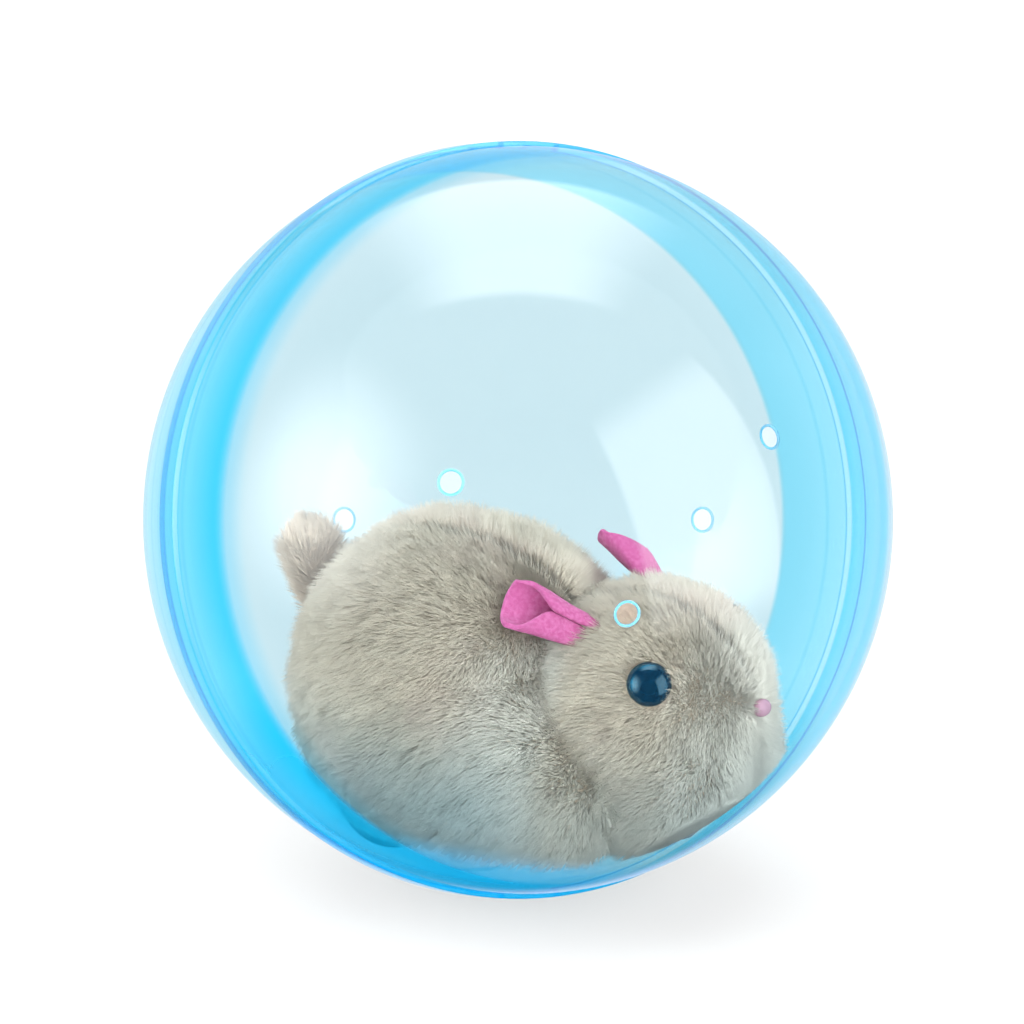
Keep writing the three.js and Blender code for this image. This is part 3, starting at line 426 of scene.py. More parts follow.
@dataclass(frozen=True)
class Pile:
    """Short plush pile whose strands differ in tone and are lighter at their tips, partly their own tone and
    partly painted shade at the roots; painted shade also darkens the seam and the pile low down.

    Args:
        name: Name of the material.
        root: Colour at the root of a strand, darker partly by painted shade deep in the pile.
        tip: Colour at its tip.
        stray: Colour of the odd strand.
        blush: Colour of the faint pinkish patches.
        low_shade: Painted shade: a darker, cooler tone of the pile low down.
        pale: Paler pile of the collar and of the snout.
        collar: Where the collar starts, is full, starts to end and ends along X, in metres.
        collar_top: Where the collar starts and is full along Z, in metres.
        snout: Where the snout starts and is full along X, in metres.
        light: Strength of the paler pile.
        low: Where the painted low shade starts and is full along Z, in metres, and its share.
        head_shade: Where the head's weaker painted low shade starts and is full along X, and its share.
        seam: Half width of the line of painted shade along the animal's middle, in metres.
        seam_shade: Brightness under the painted shade on that line.
        seam_end: Where the line is faint and full along Z, in metres, and its faint share.
        patches: Cells in a metre of the blush and of the lighter patches.
        own_normal: Share of a strand's own normal in the shading.
    """

    name: str
    root: Colour
    tip: Colour
    stray: Colour
    blush: Colour = (0.72, 0.51, 0.44)
    low_shade: Colour = (0.3, 0.47, 0.51)
    pale: Colour = (0.96, 0.87, 0.77)
    collar: Quad = (-5.0 * MM, 9.0 * MM, 13.0 * MM, 19.0 * MM)
    collar_top: Pair = (-10.0 * MM, -18.0 * MM)
    snout: Pair = (32.0 * MM, 40.0 * MM)
    light: float = 0.55
    low: Triple = (-20.0 * MM, -44.0 * MM, 0.64)
    head_shade: Triple = (2.0 * MM, 20.0 * MM, 0.55)
    seam: float = 0.8 * MM
    seam_shade: float = 0.4
    seam_end: Triple = (-27.0 * MM, -11.0 * MM, 0.2)
    patches: Pair = (55.0, 70.0)
    own_normal: float = 0.25

    def build(self) -> Material:
        """Builds the material.

        Returns:
            The material.
        """
        g = Graph(self.name)
        apart = g.add("SeparateXYZ", {0: g.place()})
        x, y, z = (apart.outputs[axis] for axis in "XYZ")
        # Darker roots: partly the strands' own tone, partly painted shade deep in the pile
        colour = g.mix(g.math("POWER", g.attribute("along"), 0.7), self.root, self.tip)
        colour = g.mix(g.ease(g.attribute("tone"), 0.6, 1.0, 0.0, 0.5), colour, self.stray)
        blush, patch = (g.clouds(cells) for cells in self.patches)
        colour = g.mix(g.ease(blush, 0.48, 0.7, 0.0, 0.4), colour, self.blush)
        # Lighter patches and tufts, and painted shade along the seam
        tuft = g.ease(g.attribute("tuft"), 0.2, 0.8, 0.93, 1.04)
        bright = g.times(g.ease(patch, 0.36, 0.64, 0.92, 1.03), tuft)
        side = g.math("ABSOLUTE", y)
        # Painted shade in the seam's parting: a darker line along the animal's middle
        line = g.ease(side, 1.7 * self.seam, 0.3 * self.seam, 0.0, 1.0 - self.seam_shade)
        faint, full, share = self.seam_end
        line = g.times(line, g.ease(z, faint, full, share, 1.0))
        bright = g.times(bright, g.math("SUBTRACT", 1.0, line))
        grey = g.add("CombineColor", {0: bright, 1: bright, 2: bright}).outputs[0]
        colour = g.mix(1.0, colour, grey, "MULTIPLY")
        # Pale collar and snout, and painted shade: a darker, cooler tone low down
        begin, full, fade, end = self.collar
        ring = g.times(g.ease(x, begin, full), g.ease(x, end, fade))
        ring = g.times(ring, g.ease(z, *self.collar_top))
        pale = g.math("MAXIMUM", ring, g.ease(x, *self.snout))
        colour = g.mix(g.times(pale, self.light), colour, self.pale)
        # Painted shade: the pile darker and cooler low down, weaker towards the head
        start, full, share = self.low
        low = g.ease(z, start, full, 0.0, share)
        start, full, share = self.head_shade
        colour = g.mix(g.times(low, g.ease(x, start, full, 1.0, share)), colour, self.low_shade)
        skin = g.turned(g.attribute("rise", "Vector"), "OBJECT", "WORLD")
        own = g.add("NewGeometry").outputs["Normal"]
        blend = g.add("Mix", {0: self.own_normal, 4: skin, 5: own}, data_type="VECTOR")
        soft = g.vector("NORMALIZE", blend.outputs[1])
        inputs = {
            "Base Color": colour,
            "Roughness": 0.95,
            "Specular IOR Level": 0.15,
            "Sheen Weight": 0.25,
            "Sheen Roughness": 0.6,
            "Normal": soft,
        }
        return g.done(g.add("BsdfPrincipled", inputs))


@dataclass(frozen=True)
class Cloth:
    """Felt or backing cloth with a fine fibrous face.

    Args:
        name: Name of the material.
        colour: Main colour.
        shade: Colour of the darker fibres.
        scale: Fibres in a metre.
        depth: Depth of the fibres, in metres.
        sheen: Weight of the soft sheen.
    """

    name: str
    colour: Colour
    shade: Colour
    scale: float = 1800.0
    depth: float = 0.1 * MM
    sheen: float = 0.3

    def build(self) -> Material:
        """Builds the material.

        Returns:
            The material.
        """
        g = Graph(self.name)
        fibre = g.clouds(self.scale, 4.0)
        wide = g.clouds(self.scale / 12.0, 2.0)
        blotch = g.times(g.ease(fibre, 0.3, 0.7), g.ease(wide, 0.25, 0.75, 0.4, 1.0))
        inputs = {
            "Base Color": g.mix(blotch, self.shade, self.colour),
            "Roughness": 0.95,
            "Specular IOR Level": 0.15,
            "Sheen Weight": self.sheen,
            "Normal": g.bump(fibre, self.depth),
        }
        return g.done(g.add("BsdfPrincipled", inputs))


@dataclass(frozen=True)
class Solid:
    """Moulded plastic, rubber, lacquer or metal.

    Args:
        name: Name of the material.
        colour: Base colour.
        rough: Mean roughness.
        metal: 1 for metal, 0 for the rest.
        grain: Cells of the surface grain in a metre.
        depth: Depth of the grain, in metres.
        coat: Weight of a clear coat.
    """

    name: str
    colour: Colour
    rough: float = 0.45
    metal: float = 0.0
    grain: float = 2500.0
    depth: float = 0.008 * MM
    coat: float = 0.0

    def build(self) -> Material:
        """Builds the material.

        Returns:
            The material.
        """
        g = Graph(self.name)
        wear = g.clouds(self.grain / 20.0)
        dark = tuple(0.86 * part for part in self.colour)
        inputs = {
            "Base Color": g.mix(g.ease(wear, 0.35, 0.65), dark, self.colour),
            "Roughness": g.ease(wear, 0.3, 0.7, 0.85 * self.rough, min(1.0, 1.15 * self.rough)),
            "Metallic": self.metal,
            "Coat Weight": self.coat,
            "Coat Roughness": 0.03,
            "Normal": g.bump(g.clouds(self.grain), self.depth),
        }
        return g.done(g.add("BsdfPrincipled", inputs))


@dataclass(frozen=True)
class Bead:
    """Polished glass bead with a clear coat.

    Args:
        name: Name of the material.
        colour: Base colour.
        glint: Colour of its reflections.
    """

    name: str
    colour: Colour
    glint: Colour = (0.35, 0.85, 1.0)

    def build(self) -> Material:
        """Builds the material.

        Returns:
            The material.
        """
        g = Graph(self.name)
        inputs = {
            "Base Color": self.colour,
            "Roughness": 0.12,
            "Specular Tint": self.glint,
            "Coat Weight": 1.0,
            "Coat Roughness": 0.04,
            "Coat Tint": self.glint,
        }
        return g.done(g.add("BsdfPrincipled", inputs))


# Shared modelling


def make_object(name: str, bm: BMesh, *materials: Material) -> Object:
    """Turns a bmesh into a smooth object of the scene.

    Args:
        name: Name of the object.
        bm: Its form, freed here.
        materials: Its material slots.

    Returns:
        The object.
    """
    mesh = bpy.data.meshes.new(name)
    for face in bm.faces:
        face.smooth = True
    bm.to_mesh(mesh)
    bm.free()
    for material in materials:
        mesh.materials.append(material)
    made = bpy.data.objects.new(name, mesh)
    bpy.context.scene.collection.objects.link(made)
    return made


def bake(target: Object) -> None:
    """Applies an object's modifiers to its mesh.

    Args:
        target: Object that is changed.
    """
    depsgraph = bpy.context.evaluated_depsgraph_get()
    mesh = bpy.data.meshes.new_from_object(
        target.evaluated_get(depsgraph), preserve_all_data_layers=True, depsgraph=depsgraph
    )
    target.modifiers.clear()
    target.data = mesh


def carve(target: Object, tool: BMesh, operation: str, material: Material | None = None) -> None:
    """Cuts or joins a form into an object by a Boolean, and bakes it.

    Args:
        target: Object that is changed.
        tool: Form of the cutter, turned outwards and freed here.
        operation: DIFFERENCE or UNION.
        material: Material of the faces that the tool leaves, if not the target's.
    """
    bmesh.ops.recalc_face_normals(tool, faces=tool.faces)
    cutter = make_object("cutter", tool, *([material] if material else []))
    step = target.modifiers.new("carve", "BOOLEAN")
    step.operation = operation
    step.solver = "MANIFOLD"
    step.material_mode = "TRANSFER" if material else "INDEX"
    step.object = cutter
    bake(target)
    bpy.data.objects.remove(cutter)


def settle(bm: BMesh, place: Matrix) -> None:
    """Puts a form given in millimetres in its place and turns its faces outwards."""
    bmesh.ops.transform(bm, matrix=Matrix.Scale(MM, 4) @ place, verts=bm.verts)
    bmesh.ops.recalc_face_normals(bm, faces=bm.faces)


def spin(bm: BMesh, geom: list, steps: int) -> None:
    """Turns geometry once about the Z axis, in that many steps."""
    whole = {"axis": (0, 0, 1), "cent": (0, 0, 0), "angle": 2 * math.pi, "use_merge": True}
    bmesh.ops.spin(bm, geom=geom, steps=steps, **whole)


def turned(profile: Iterable[Pair], steps: int) -> BMesh:
    """Turns a profile about the Z axis.

    Args:
        profile: Radius and height of each point, in millimetres.
        steps: Faces round the form.

    Returns:
        The form, in millimetres.
    """
    bm = bmesh.new()
    verts = [bm.verts.new((r, 0, h)) for r, h in profile]
    edges = [bm.edges.new(pair) for pair in zip(verts, verts[1:])]
    spin(bm, verts + edges, steps)
    bmesh.ops.remove_doubles(bm, verts=bm.verts, dist=1e-4)
    return bm


def add_ring(bm: BMesh, place: Matrix, radius: float, thick: float, steps: int = 40) -> None:
    """Adds a round ring about the local Z axis.

    Args:
        bm: Mesh that gets the ring.
        place: Where the ring lies.
        radius: Radius of its centreline.
        thick: Radius of its section.
        steps: Faces round it.
    """
    section = Matrix.Translation((radius, 0, 0)) @ Matrix.Rotation(math.pi / 2, 4, "X")
    made = bmesh.ops.create_circle(bm, segments=10, radius=thick, matrix=section)["verts"]
    spin(bm, made + list({edge for vert in made for edge in vert.link_edges}), steps)
    ring = [vert for vert in bm.verts if not vert.tag]
    bmesh.ops.transform(bm, matrix=place, verts=ring)
    for vert in bm.verts:
        vert.tag = True


def add_box(bm: BMesh, low: Triple, high: Triple, turn: Matrix = UNTURNED) -> None:
    """Adds a box between two corners.

    Args:
        bm: Mesh that gets the box, in metres.
        low: Its lowest corner, in millimetres.
        high: Its highest corner, in millimetres.
        turn: Turn of the box about the origin.
    """
    size = Matrix.Diagonal((*(b - a for a, b in zip(low, high)), 1))
    spot = Matrix.Translation([(a + b) / 2 for a, b in zip(low, high)])
    bmesh.ops.create_cube(bm, size=1.0, matrix=Matrix.Scale(MM, 4) @ (turn @ spot @ size))


def turns(*steps: tuple[float, str]) -> Matrix:
    """Makes one turn of several.

    Args:
        steps: Angle in degrees and axis of each turn.

    Returns:
        The turns, one after the other.
    """
    made = Matrix.Identity(4)
    for angle, axis in steps:
        made = made @ Matrix.Rotation(math.radians(angle), 4, axis)
    return made


def rounded(points: Sequence[Pair], cuts: dict[int, float]) -> list[Pair]:
    """Rounds some corners of a profile.

    Args:
        points: Corners of the profile.
        cuts: Rounding radius by corner number.

    Returns:
        The profile with an arc of five points at each rounded corner.
    """
    made: list[Pair] = []
    for number, corner in enumerate(points):
        if number not in cuts:
            made.append(corner)
            continue
        here = Vector(corner)
        before = (Vector(points[number - 1]) - here).normalized() * cuts[number]
        after = (Vector(points[number + 1]) - here).normalized() * cuts[number]
        for share in (0.0, 0.25, 0.5, 0.75, 1.0):
            spot = here + before * (1 - share) ** 2 + after * share**2
            made.append((spot.x, spot.y))
    return made


# Ball


@dataclass
class Ball:
    """The clear ball of two shells that lap at the seam.

    Args:
        turn: Heading of the front pole from +X, in degrees.
        lean: Angle of the front pole from +Z, in degrees.
        roll: Turn of the ball about its poles, in degrees.
        band_r: Radius over the proud rim band, in millimetres, as the sizes below.
        dome_r: Radius over the domes.
        inner_r: Radius of the inside.
        band_front: Reach of the band in front of the seam.
        lap: Reach of the lip and the spigot past the seam.
        spigot_r: Radius over the spigot.
        gap: Gap between lip and spigot.
        hole_r: Radius of the air holes.
        drill: Length of the drill that cuts a hole.
        bead_r: Radius of the moulded bead round a hole.
        bead_in: How far the bead lies outside the hole and below the dome.
        lug_w: Width of the locating lugs.
        lug_l: Length of the lugs over the lip's edge.
        lug_root: How far a lug is sunk in the spigot and passes the lip's edge.
        slot_over: How far the cutter of the lugs' slots passes the rim.
        slope: Height of the slope from the dome to the rim band.
        round_out: Rounding of the rim's outer corners.
        round_in: Rounding of the corners in the lap.
        foot: Height at which the rear shell's inside passes into the spigot.
        foot_in: How far the spigot's end stands inside the inner face.
        step_half: Half height of a moulded step inside.
        sharp: Angle over which an edge stays sharp, in degrees.
        sides: Faces round the ball.
        arcs: Steps of a dome, of the inside over a moulded step and of the inside below it.
        holes: Degrees from the pole and degrees round it, by shell.
        lugs: Degrees round the rim of the locating lugs.
        shade_way: Way to the painted shade, the milky part of the belt, at rest.
        belts: Distance from the seam and rise of each moulded step inside, by shell.
    """

    turn: float = -40.0
    lean: float = 70.8
    roll: float = 81.3
    band_r: float = 62.5
    dome_r: float = 61.9
    inner_r: float = 60.0
    band_front: float = 2.5
    lap: float = 3.2
    spigot_r: float = 61.05
    gap: float = 0.3
    hole_r: float = 2.0
    drill: float = 12.0
    bead_r: float = 0.24
    bead_in: Pair = (0.02, 0.05)
    lug_w: float = 5.0
    lug_l: float = 2.0
    lug_root: Pair = (0.5, 0.6)
    slot_over: float = 1.0
    slope: float = 0.6
    round_out: float = 0.3
    round_in: float = 0.2
    foot: float = 2.0
    foot_in: float = 0.3
    step_half: float = 0.35
    sharp: float = 32.0
    sides: int = 160
    arcs: tuple[int, int, int] = (64, 26, 8)
    holes: dict[Half, tuple[Pair, ...]] = field(
        default_factory=lambda: {
            Half.FRONT: ((34.0, 170.0), (15.5, -115.0)),
            Half.REAR: ((54.0, 0.0), (69.0, 14.0), (5.0, 180.0)),
        }
    )
    lugs: tuple[float, ...] = (-94.6, -85.4, 85.4, 94.6)
    # Way down at rest to the painted shade on the belt
    shade_way: Vector = field(default_factory=lambda: Vector((0.01, -0.38, -0.925)).normalized())
    belts: dict[Half, tuple[Pair, ...]] = field(
        default_factory=lambda: {
            Half.FRONT: ((16.4, 0.15),),
            Half.REAR: ((20.0, 0.15), (8.5, 0.3)),
        }
    )

    @property
    def attitude(self) -> Matrix:
        """The turn of the ball's own frame, front pole along local Z."""
        return turns((self.turn, "Z"), (self.lean, "Y"), (self.roll, "Z"))

    @property
    def pole(self) -> Vector:
        """Unit vector of the front pole."""
        return (self.attitude @ Vector((0, 0, 1))).normalized()

    def arc(self, radius: float, start: float, end: float, steps: int) -> list[Pair]:
        """Points of a meridian between two heights over the seam.

        Args:
            radius: Radius of the sphere.
            start: First height.
            end: Last height.
            steps: Number of steps.

        Returns:
            Radius and height of each point.
        """
        first, last = math.acos(start / radius), math.acos(end / radius)
        angles = (first + (last - first) * i / steps for i in range(steps + 1))
        return [(radius * math.sin(a), radius * math.cos(a)) for a in angles]

    def inside(self, half: Half, foot: float) -> list[Pair]:
        """Profile of the inner face of a shell from its pole down, with the moulded steps.

        Args:
            half: Which shell.
            foot: Height at which the face ends.

        Returns:
            Radius and height of each point.
        """
        _, over, below = self.arcs
        made: list[Pair] = []
        top, rise = self.inner_r, 0.0
        for away, next_rise in self.belts[half]:
            made += self.arc(self.inner_r - rise, top, away + self.step_half, over)
            top, rise = away - self.step_half, next_rise
        return made + self.arc(self.inner_r - rise, top, foot, below)

    def profile(self, half: Half) -> list[Pair]:
        """Profile of one shell from its pole, over the rim and back to its pole.

        Args:
            half: Which shell.

        Returns:
            Radius and height of each point, heights growing towards that shell's pole.
        """
        root = self.lap + self.gap
        if half is Half.FRONT:
            outer = self.arc(self.dome_r, self.dome_r, self.band_front + self.slope, self.arcs[0])
            back = self.inside(half, root)
            lip_r = self.spigot_r + self.gap
            rim = [
                (self.band_r, self.band_front),
                (self.band_r, -self.lap),
                (lip_r, -self.lap),
                (lip_r, root),
            ]
            cuts = {1: self.round_out, 2: self.round_out, 3: self.round_in}
        else:
            outer = self.arc(self.dome_r, self.dome_r, root, self.arcs[0])
            back = self.inside(half, self.foot)
            end_r = math.sqrt((self.inner_r - self.foot_in) ** 2 - self.lap**2)
            rim = [(self.spigot_r, root), (self.spigot_r, -self.lap), (end_r, -self.lap)]
            cuts = {0: self.round_out, 2: self.round_in}
        corners = rounded([outer[-1], *rim, back[-1]], cuts)
        return [*outer[:-1], *corners, *reversed(back[:-1])]

    def drill_places(self, half: Half) -> Iterable[Matrix]:
        """Places the air holes of a shell.

        Args:
            half: Which shell.

        Yields:
            The place of a hole, its axis along local Z from the ball's centre.
        """
        for polar, around in self.holes[half]:
            lean = turns((polar, "Y"))
            flip = Matrix.Scale(half.value, 4, (0, 0, 1))
            yield self.attitude @ flip @ turns((around, "Z")) @ lean

    def rim_blocks(self, r0: float, r1: float, z0: float, z1: float, width: float) -> BMesh:
        """Blocks round the rim: the lugs, or their slots when grown.

        Args:
            r0: Inner radius.
            r1: Outer radius.
            z0: Lower height.
            z1: Upper height.
            width: Width round the rim.

        Returns:
            The blocks in one bmesh.
        """
        bm = bmesh.new()
        for angle in self.lugs:
            add_box(bm, (r0, -width / 2, z0), (r1, width / 2, z1), self.attitude @ turns((angle, "Z")))
        return bm

    def shell(self, half: Half, plastic: Material, frost: Material) -> Object:
        """Builds one shell.

        Args:
            half: Which shell.
            plastic: Its material.
            frost: Material of the edges of its holes.

        Returns:
            The shell, riding on its body.
        """
        name = f"{half.name.lower()}_shell"
        bm = turned(self.profile(half), self.sides)
        settle(bm, self.attitude @ Matrix.Scale(half.value, 4, (0, 0, 1)))
        made = make_object(f"{name}_clear", bm, plastic)
        drill, beads = bmesh.new(), bmesh.new()
        out, below = self.bead_in
        seat = math.sqrt(self.dome_r**2 - self.hole_r**2) - below
        for place in self.drill_places(half):
            scaled = Matrix.Scale(MM, 4) @ place
            bmesh.ops.create_cone(
                drill,
                cap_ends=True,
                segments=40,
                radius1=self.hole_r,
                radius2=self.hole_r,
                depth=self.drill,
                matrix=scaled @ Matrix.Translation((0, 0, self.dome_r)),
            )
            add_ring(beads, scaled @ Matrix.Translation((0, 0, seat)), self.hole_r + out, self.bead_r)
        carve(made, drill, "DIFFERENCE")
        carve(made, beads, "UNION", frost)
        low, high = -self.lap, -self.lap + self.lug_l
        if half is Half.FRONT:
            grown, over = self.lug_w + 2 * self.gap, self.slot_over
            slots = self.rim_blocks(self.spigot_r, self.band_r + over, low - over, high + self.gap, grown)
            carve(made, slots, "DIFFERENCE")
        else:
            sunk, past = self.lug_root
            lugs = self.rim_blocks(self.spigot_r - sunk, self.dome_r, low - past, high, self.lug_w)
            carve(made, lugs, "UNION")
        made.data.set_sharp_from_angle(angle=math.radians(self.sharp))
        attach(made, name)
        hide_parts(name)
        LOG.info("%s: %d faces", made.name, len(made.data.polygons))
        return made

    def build(self) -> None:
        """Builds both shells."""
        plastic = ClearPlastic(self.pole, self.shade_way).build()
        frost = RimFrost().build()
        for half in Half:
            self.shell(half, plastic, frost)


# Plush animal


@dataclass
class Coat:
    """The pile of a plush piece: tapered strands that lean with the nap.

    Args:
        length: Strand length, in millimetres.
        width: Strand width at the root, in millimetres.
        density: Strands on a square millimetre of backing.
        lean: Share of the nap in a strand's direction.
        ruffle: Strength of the waves in the nap.
        tuft: Width of a tuft, in millimetres.
        gather: How much the tips of a tuft lean together.
        waves: Fine and wide waves of the nap on a millimetre.
        wide_share: Strength of the wide waves.
        uneven: Share of the changes in length, and their waves on a millimetre.
        stray: How far a strand strays from the nap.
        spread: Shortest and longest strand, as shares of the length.
        bald: Share of the length under which no strand grows.
        seed: Seed of the scatter.
    """

    length: float
    width: float = 0.17
    density: float = 22.0
    lean: float = 0.8
    ruffle: float = 0.4
    tuft: float = 1.7
    gather: float = 0.26
    waves: Pair = (0.3, 0.11)
    wide_share: float = 0.7
    uneven: Pair = (0.25, 0.5)
    stray: float = 0.2
    spread: Pair = (0.6, 1.25)
    bald: float = 0.05
    seed: int = 1

    def strand(self) -> Object:
        """Builds one closed spike of unit length with the shares of its length on it.

        Returns:
            The spike.
        """
        bm = bmesh.new()
        half = 0.5 * self.width / self.length
        bmesh.ops.create_cone(
            bm,
            cap_ends=True,
            segments=3,
            radius1=half,
            radius2=0.0,
            depth=1.0,
            matrix=Matrix.Translation((0, 0, 0.5)),
        )
        bmesh.ops.remove_doubles(bm, verts=bm.verts, dist=1e-6)
        along = bm.verts.layers.float.new("along")
        for vert in bm.verts:
            vert[along] = vert.co.z
        bmesh.ops.recalc_face_normals(bm, faces=bm.faces)
        return make_object("strand", bm)

    def comb(self, backing: Object, nap: Nap, pile: Share) -> None:
        """Writes the strands' way, the skin's normal and the strands' length to the backing.

        Args:
            backing: Mesh that carries the pile.
            nap: Way that the pile lies at a point, in millimetres.
            pile: Length of the pile at a point, as a share.
        """
        mesh = backing.data
        (fine, wide), (swing, rate) = self.waves, self.uneven
        shift = Vector((9, 4, 2))
        ways, rises, lengths = [], [], []
        for vert in mesh.vertices:
            spot = vert.co / MM
            normal = vert.normal
            flow = nap(spot)
            flow = flow - normal * flow.dot(normal)
            tuft = noise.noise_vector(spot * fine)
            tuft = tuft + self.wide_share * noise.noise_vector(spot * wide + shift)
            tuft = tuft - normal * tuft.dot(normal)
            ways.append((normal + flow.normalized() * self.lean + tuft * self.ruffle).normalized())
            rises.append(normal[:])
            lengths.append(pile(spot) * (1.0 + swing * noise.noise(spot * rate)))
        for name, values in (("way", ways), ("rise", rises)):
            layer = mesh.attributes.new(name, "FLOAT_VECTOR", "POINT")
            layer.data.foreach_set("vector", np.array(values, np.float32).ravel())
        layer = mesh.attributes.new("pile", "FLOAT", "POINT")
        layer.data.foreach_set("value", np.array(lengths, np.float32))

    def scatter(self, strand: Object) -> bpy.types.NodeTree:
        """Builds the node group that sets strands on a combed backing.

        Args:
            strand: The strand that is repeated.

        Returns:
            The node group.
        """
        tree = bpy.data.node_groups.new("pile_scatter", "GeometryNodeTree")
        for way in ("INPUT", "OUTPUT"):
            tree.interface.new_socket(name="Geometry", in_out=way, socket_type="NodeSocketGeometry")
        g = Nodes(tree)
        store = "GeometryNodeStoreNamedAttribute"

        def named(name: str, kind: str) -> Socket:
            """Returns the value of a named attribute."""
            return g.add("GeometryNodeInputNamedAttribute", {"Name": name}, data_type=kind).outputs[0]

        def chance(low: float, high: float, draw: int) -> Socket:
            """Returns a random number between two, by the number of the draw."""
            inputs = {2: low, 3: high, "Seed": self.seed + draw}
            return g.add("FunctionNodeRandomValue", inputs, data_type="FLOAT").outputs[1]

        def stored(geometry: Socket, name: str, value: object, domain: str) -> Socket:
            """Returns the geometry with a number stored on it."""
            inputs = {"Geometry": geometry, "Name": name, "Value": value}
            return g.add(store, inputs, data_type="FLOAT", domain=domain).outputs[0]

        # Roots of the strands, marked by their tufts
        mesh = g.add("NodeGroupInput").outputs[0]
        inputs = {"Mesh": mesh, "Density": self.density / MM**2, "Seed": self.seed}
        kind = "GeometryNodeDistributePointsOnFaces"
        roots = g.add(kind, inputs, distribute_method="RANDOM").outputs["Points"]
        spot = g.add("GeometryNodeInputPosition").outputs[0]
        tufts = g.add("TexVoronoi", {"Vector": spot, "Scale": 1.0 / (self.tuft * MM)})
        marked = stored(roots, "tuft", tufts.outputs["Color"], "POINT")
        inputs = {0: named("pile", "FLOAT"), 1: self.bald}
        kept = g.add("FunctionNodeCompare", inputs, operation="GREATER_THAN", data_type="FLOAT")

        # Way of a strand: along the nap, towards the middle of its tuft and a little astray
        pull = g.vector("SUBTRACT", tufts.outputs["Position"], spot)
        inputs = {0: pull, "Scale": self.gather / (self.length * MM)}
        gather = g.add("VectorMath", inputs, operation="SCALE").outputs[0]
        inputs = {0: (-self.stray,) * 3, 1: (self.stray,) * 3, "Seed": self.seed + 1}
        astray = g.add("FunctionNodeRandomValue", inputs, data_type="FLOAT_VECTOR").outputs[0]
        way = g.vector("ADD", g.vector("ADD", named("way", "FLOAT_VECTOR"), gather), astray)
        turn = g.add("FunctionNodeAlignRotationToVector", {"Vector": way}, axis="Z")

        # Strands in their lengths and tones
        share = g.times(chance(*self.spread, 2), named("pile", "FLOAT"))
        shape = g.add("GeometryNodeObjectInfo", {"Object": strand, "As Instance": False})
        inputs = {
            "Points": marked,
            "Selection": kept.outputs[0],
            "Instance": shape.outputs["Geometry"],
            "Rotation": turn.outputs[0],
            "Scale": g.times(share, self.length * MM),
        }
        strands = g.add("GeometryNodeInstanceOnPoints", inputs).outputs[0]
        toned = stored(strands, "tone", chance(0.0, 1.0, 3), "INSTANCE")
        made = g.add("GeometryNodeRealizeInstances", {"Geometry": toned})
        g.add("NodeGroupOutput", {0: made.outputs[0]})
        return tree

    def grow(self, backing: Object, reach: float) -> None:
        """Replaces the backing's mesh by its strands, kept inside the ball.

        Args:
            backing: A combed backing.
            reach: Furthest a strand goes from the ball's centre, in millimetres.
        """
        strand = self.strand()
        step = backing.modifiers.new("pile", "NODES")
        step.node_group = self.scatter(strand)
        bake(backing)
        bpy.data.objects.remove(strand)
        mesh = backing.data
        spots = np.empty(len(mesh.vertices) * 3, np.float32)
        mesh.vertices.foreach_get("co", spots)
        spots = spots.reshape(-1, 3)
        away = np.linalg.norm(spots, axis=1, keepdims=True)
        spots *= np.minimum(1.0, reach * MM / np.maximum(away, 1e-9))
        mesh.vertices.foreach_set("co", spots.ravel())
        mesh.polygons.foreach_set("use_smooth", np.ones(len(mesh.polygons), bool))
        mesh.update()


def roundness(way: Vector, power: float) -> float:
    """Returns how far a superellipsoid of that power reaches along a unit vector."""
    return sum(abs(part) ** power for part in way) ** (-1.0 / power)


@dataclass
class Hide:
    """What one plush piece is made of.

    Args:
        name: Name of the piece.
        bm: Backing without a hem face, freed when the piece is made.
        coat: Its pile.
        nap: Way that the pile lies.
        pile: Length of the pile as a share.
        fur: Material of the pile.
        open_hem: Whether the backing is cut at the hem.
    """

    name: str
    bm: BMesh
    coat: Coat
    nap: Nap
    pile: Share
    fur: Material
    open_hem: bool = True


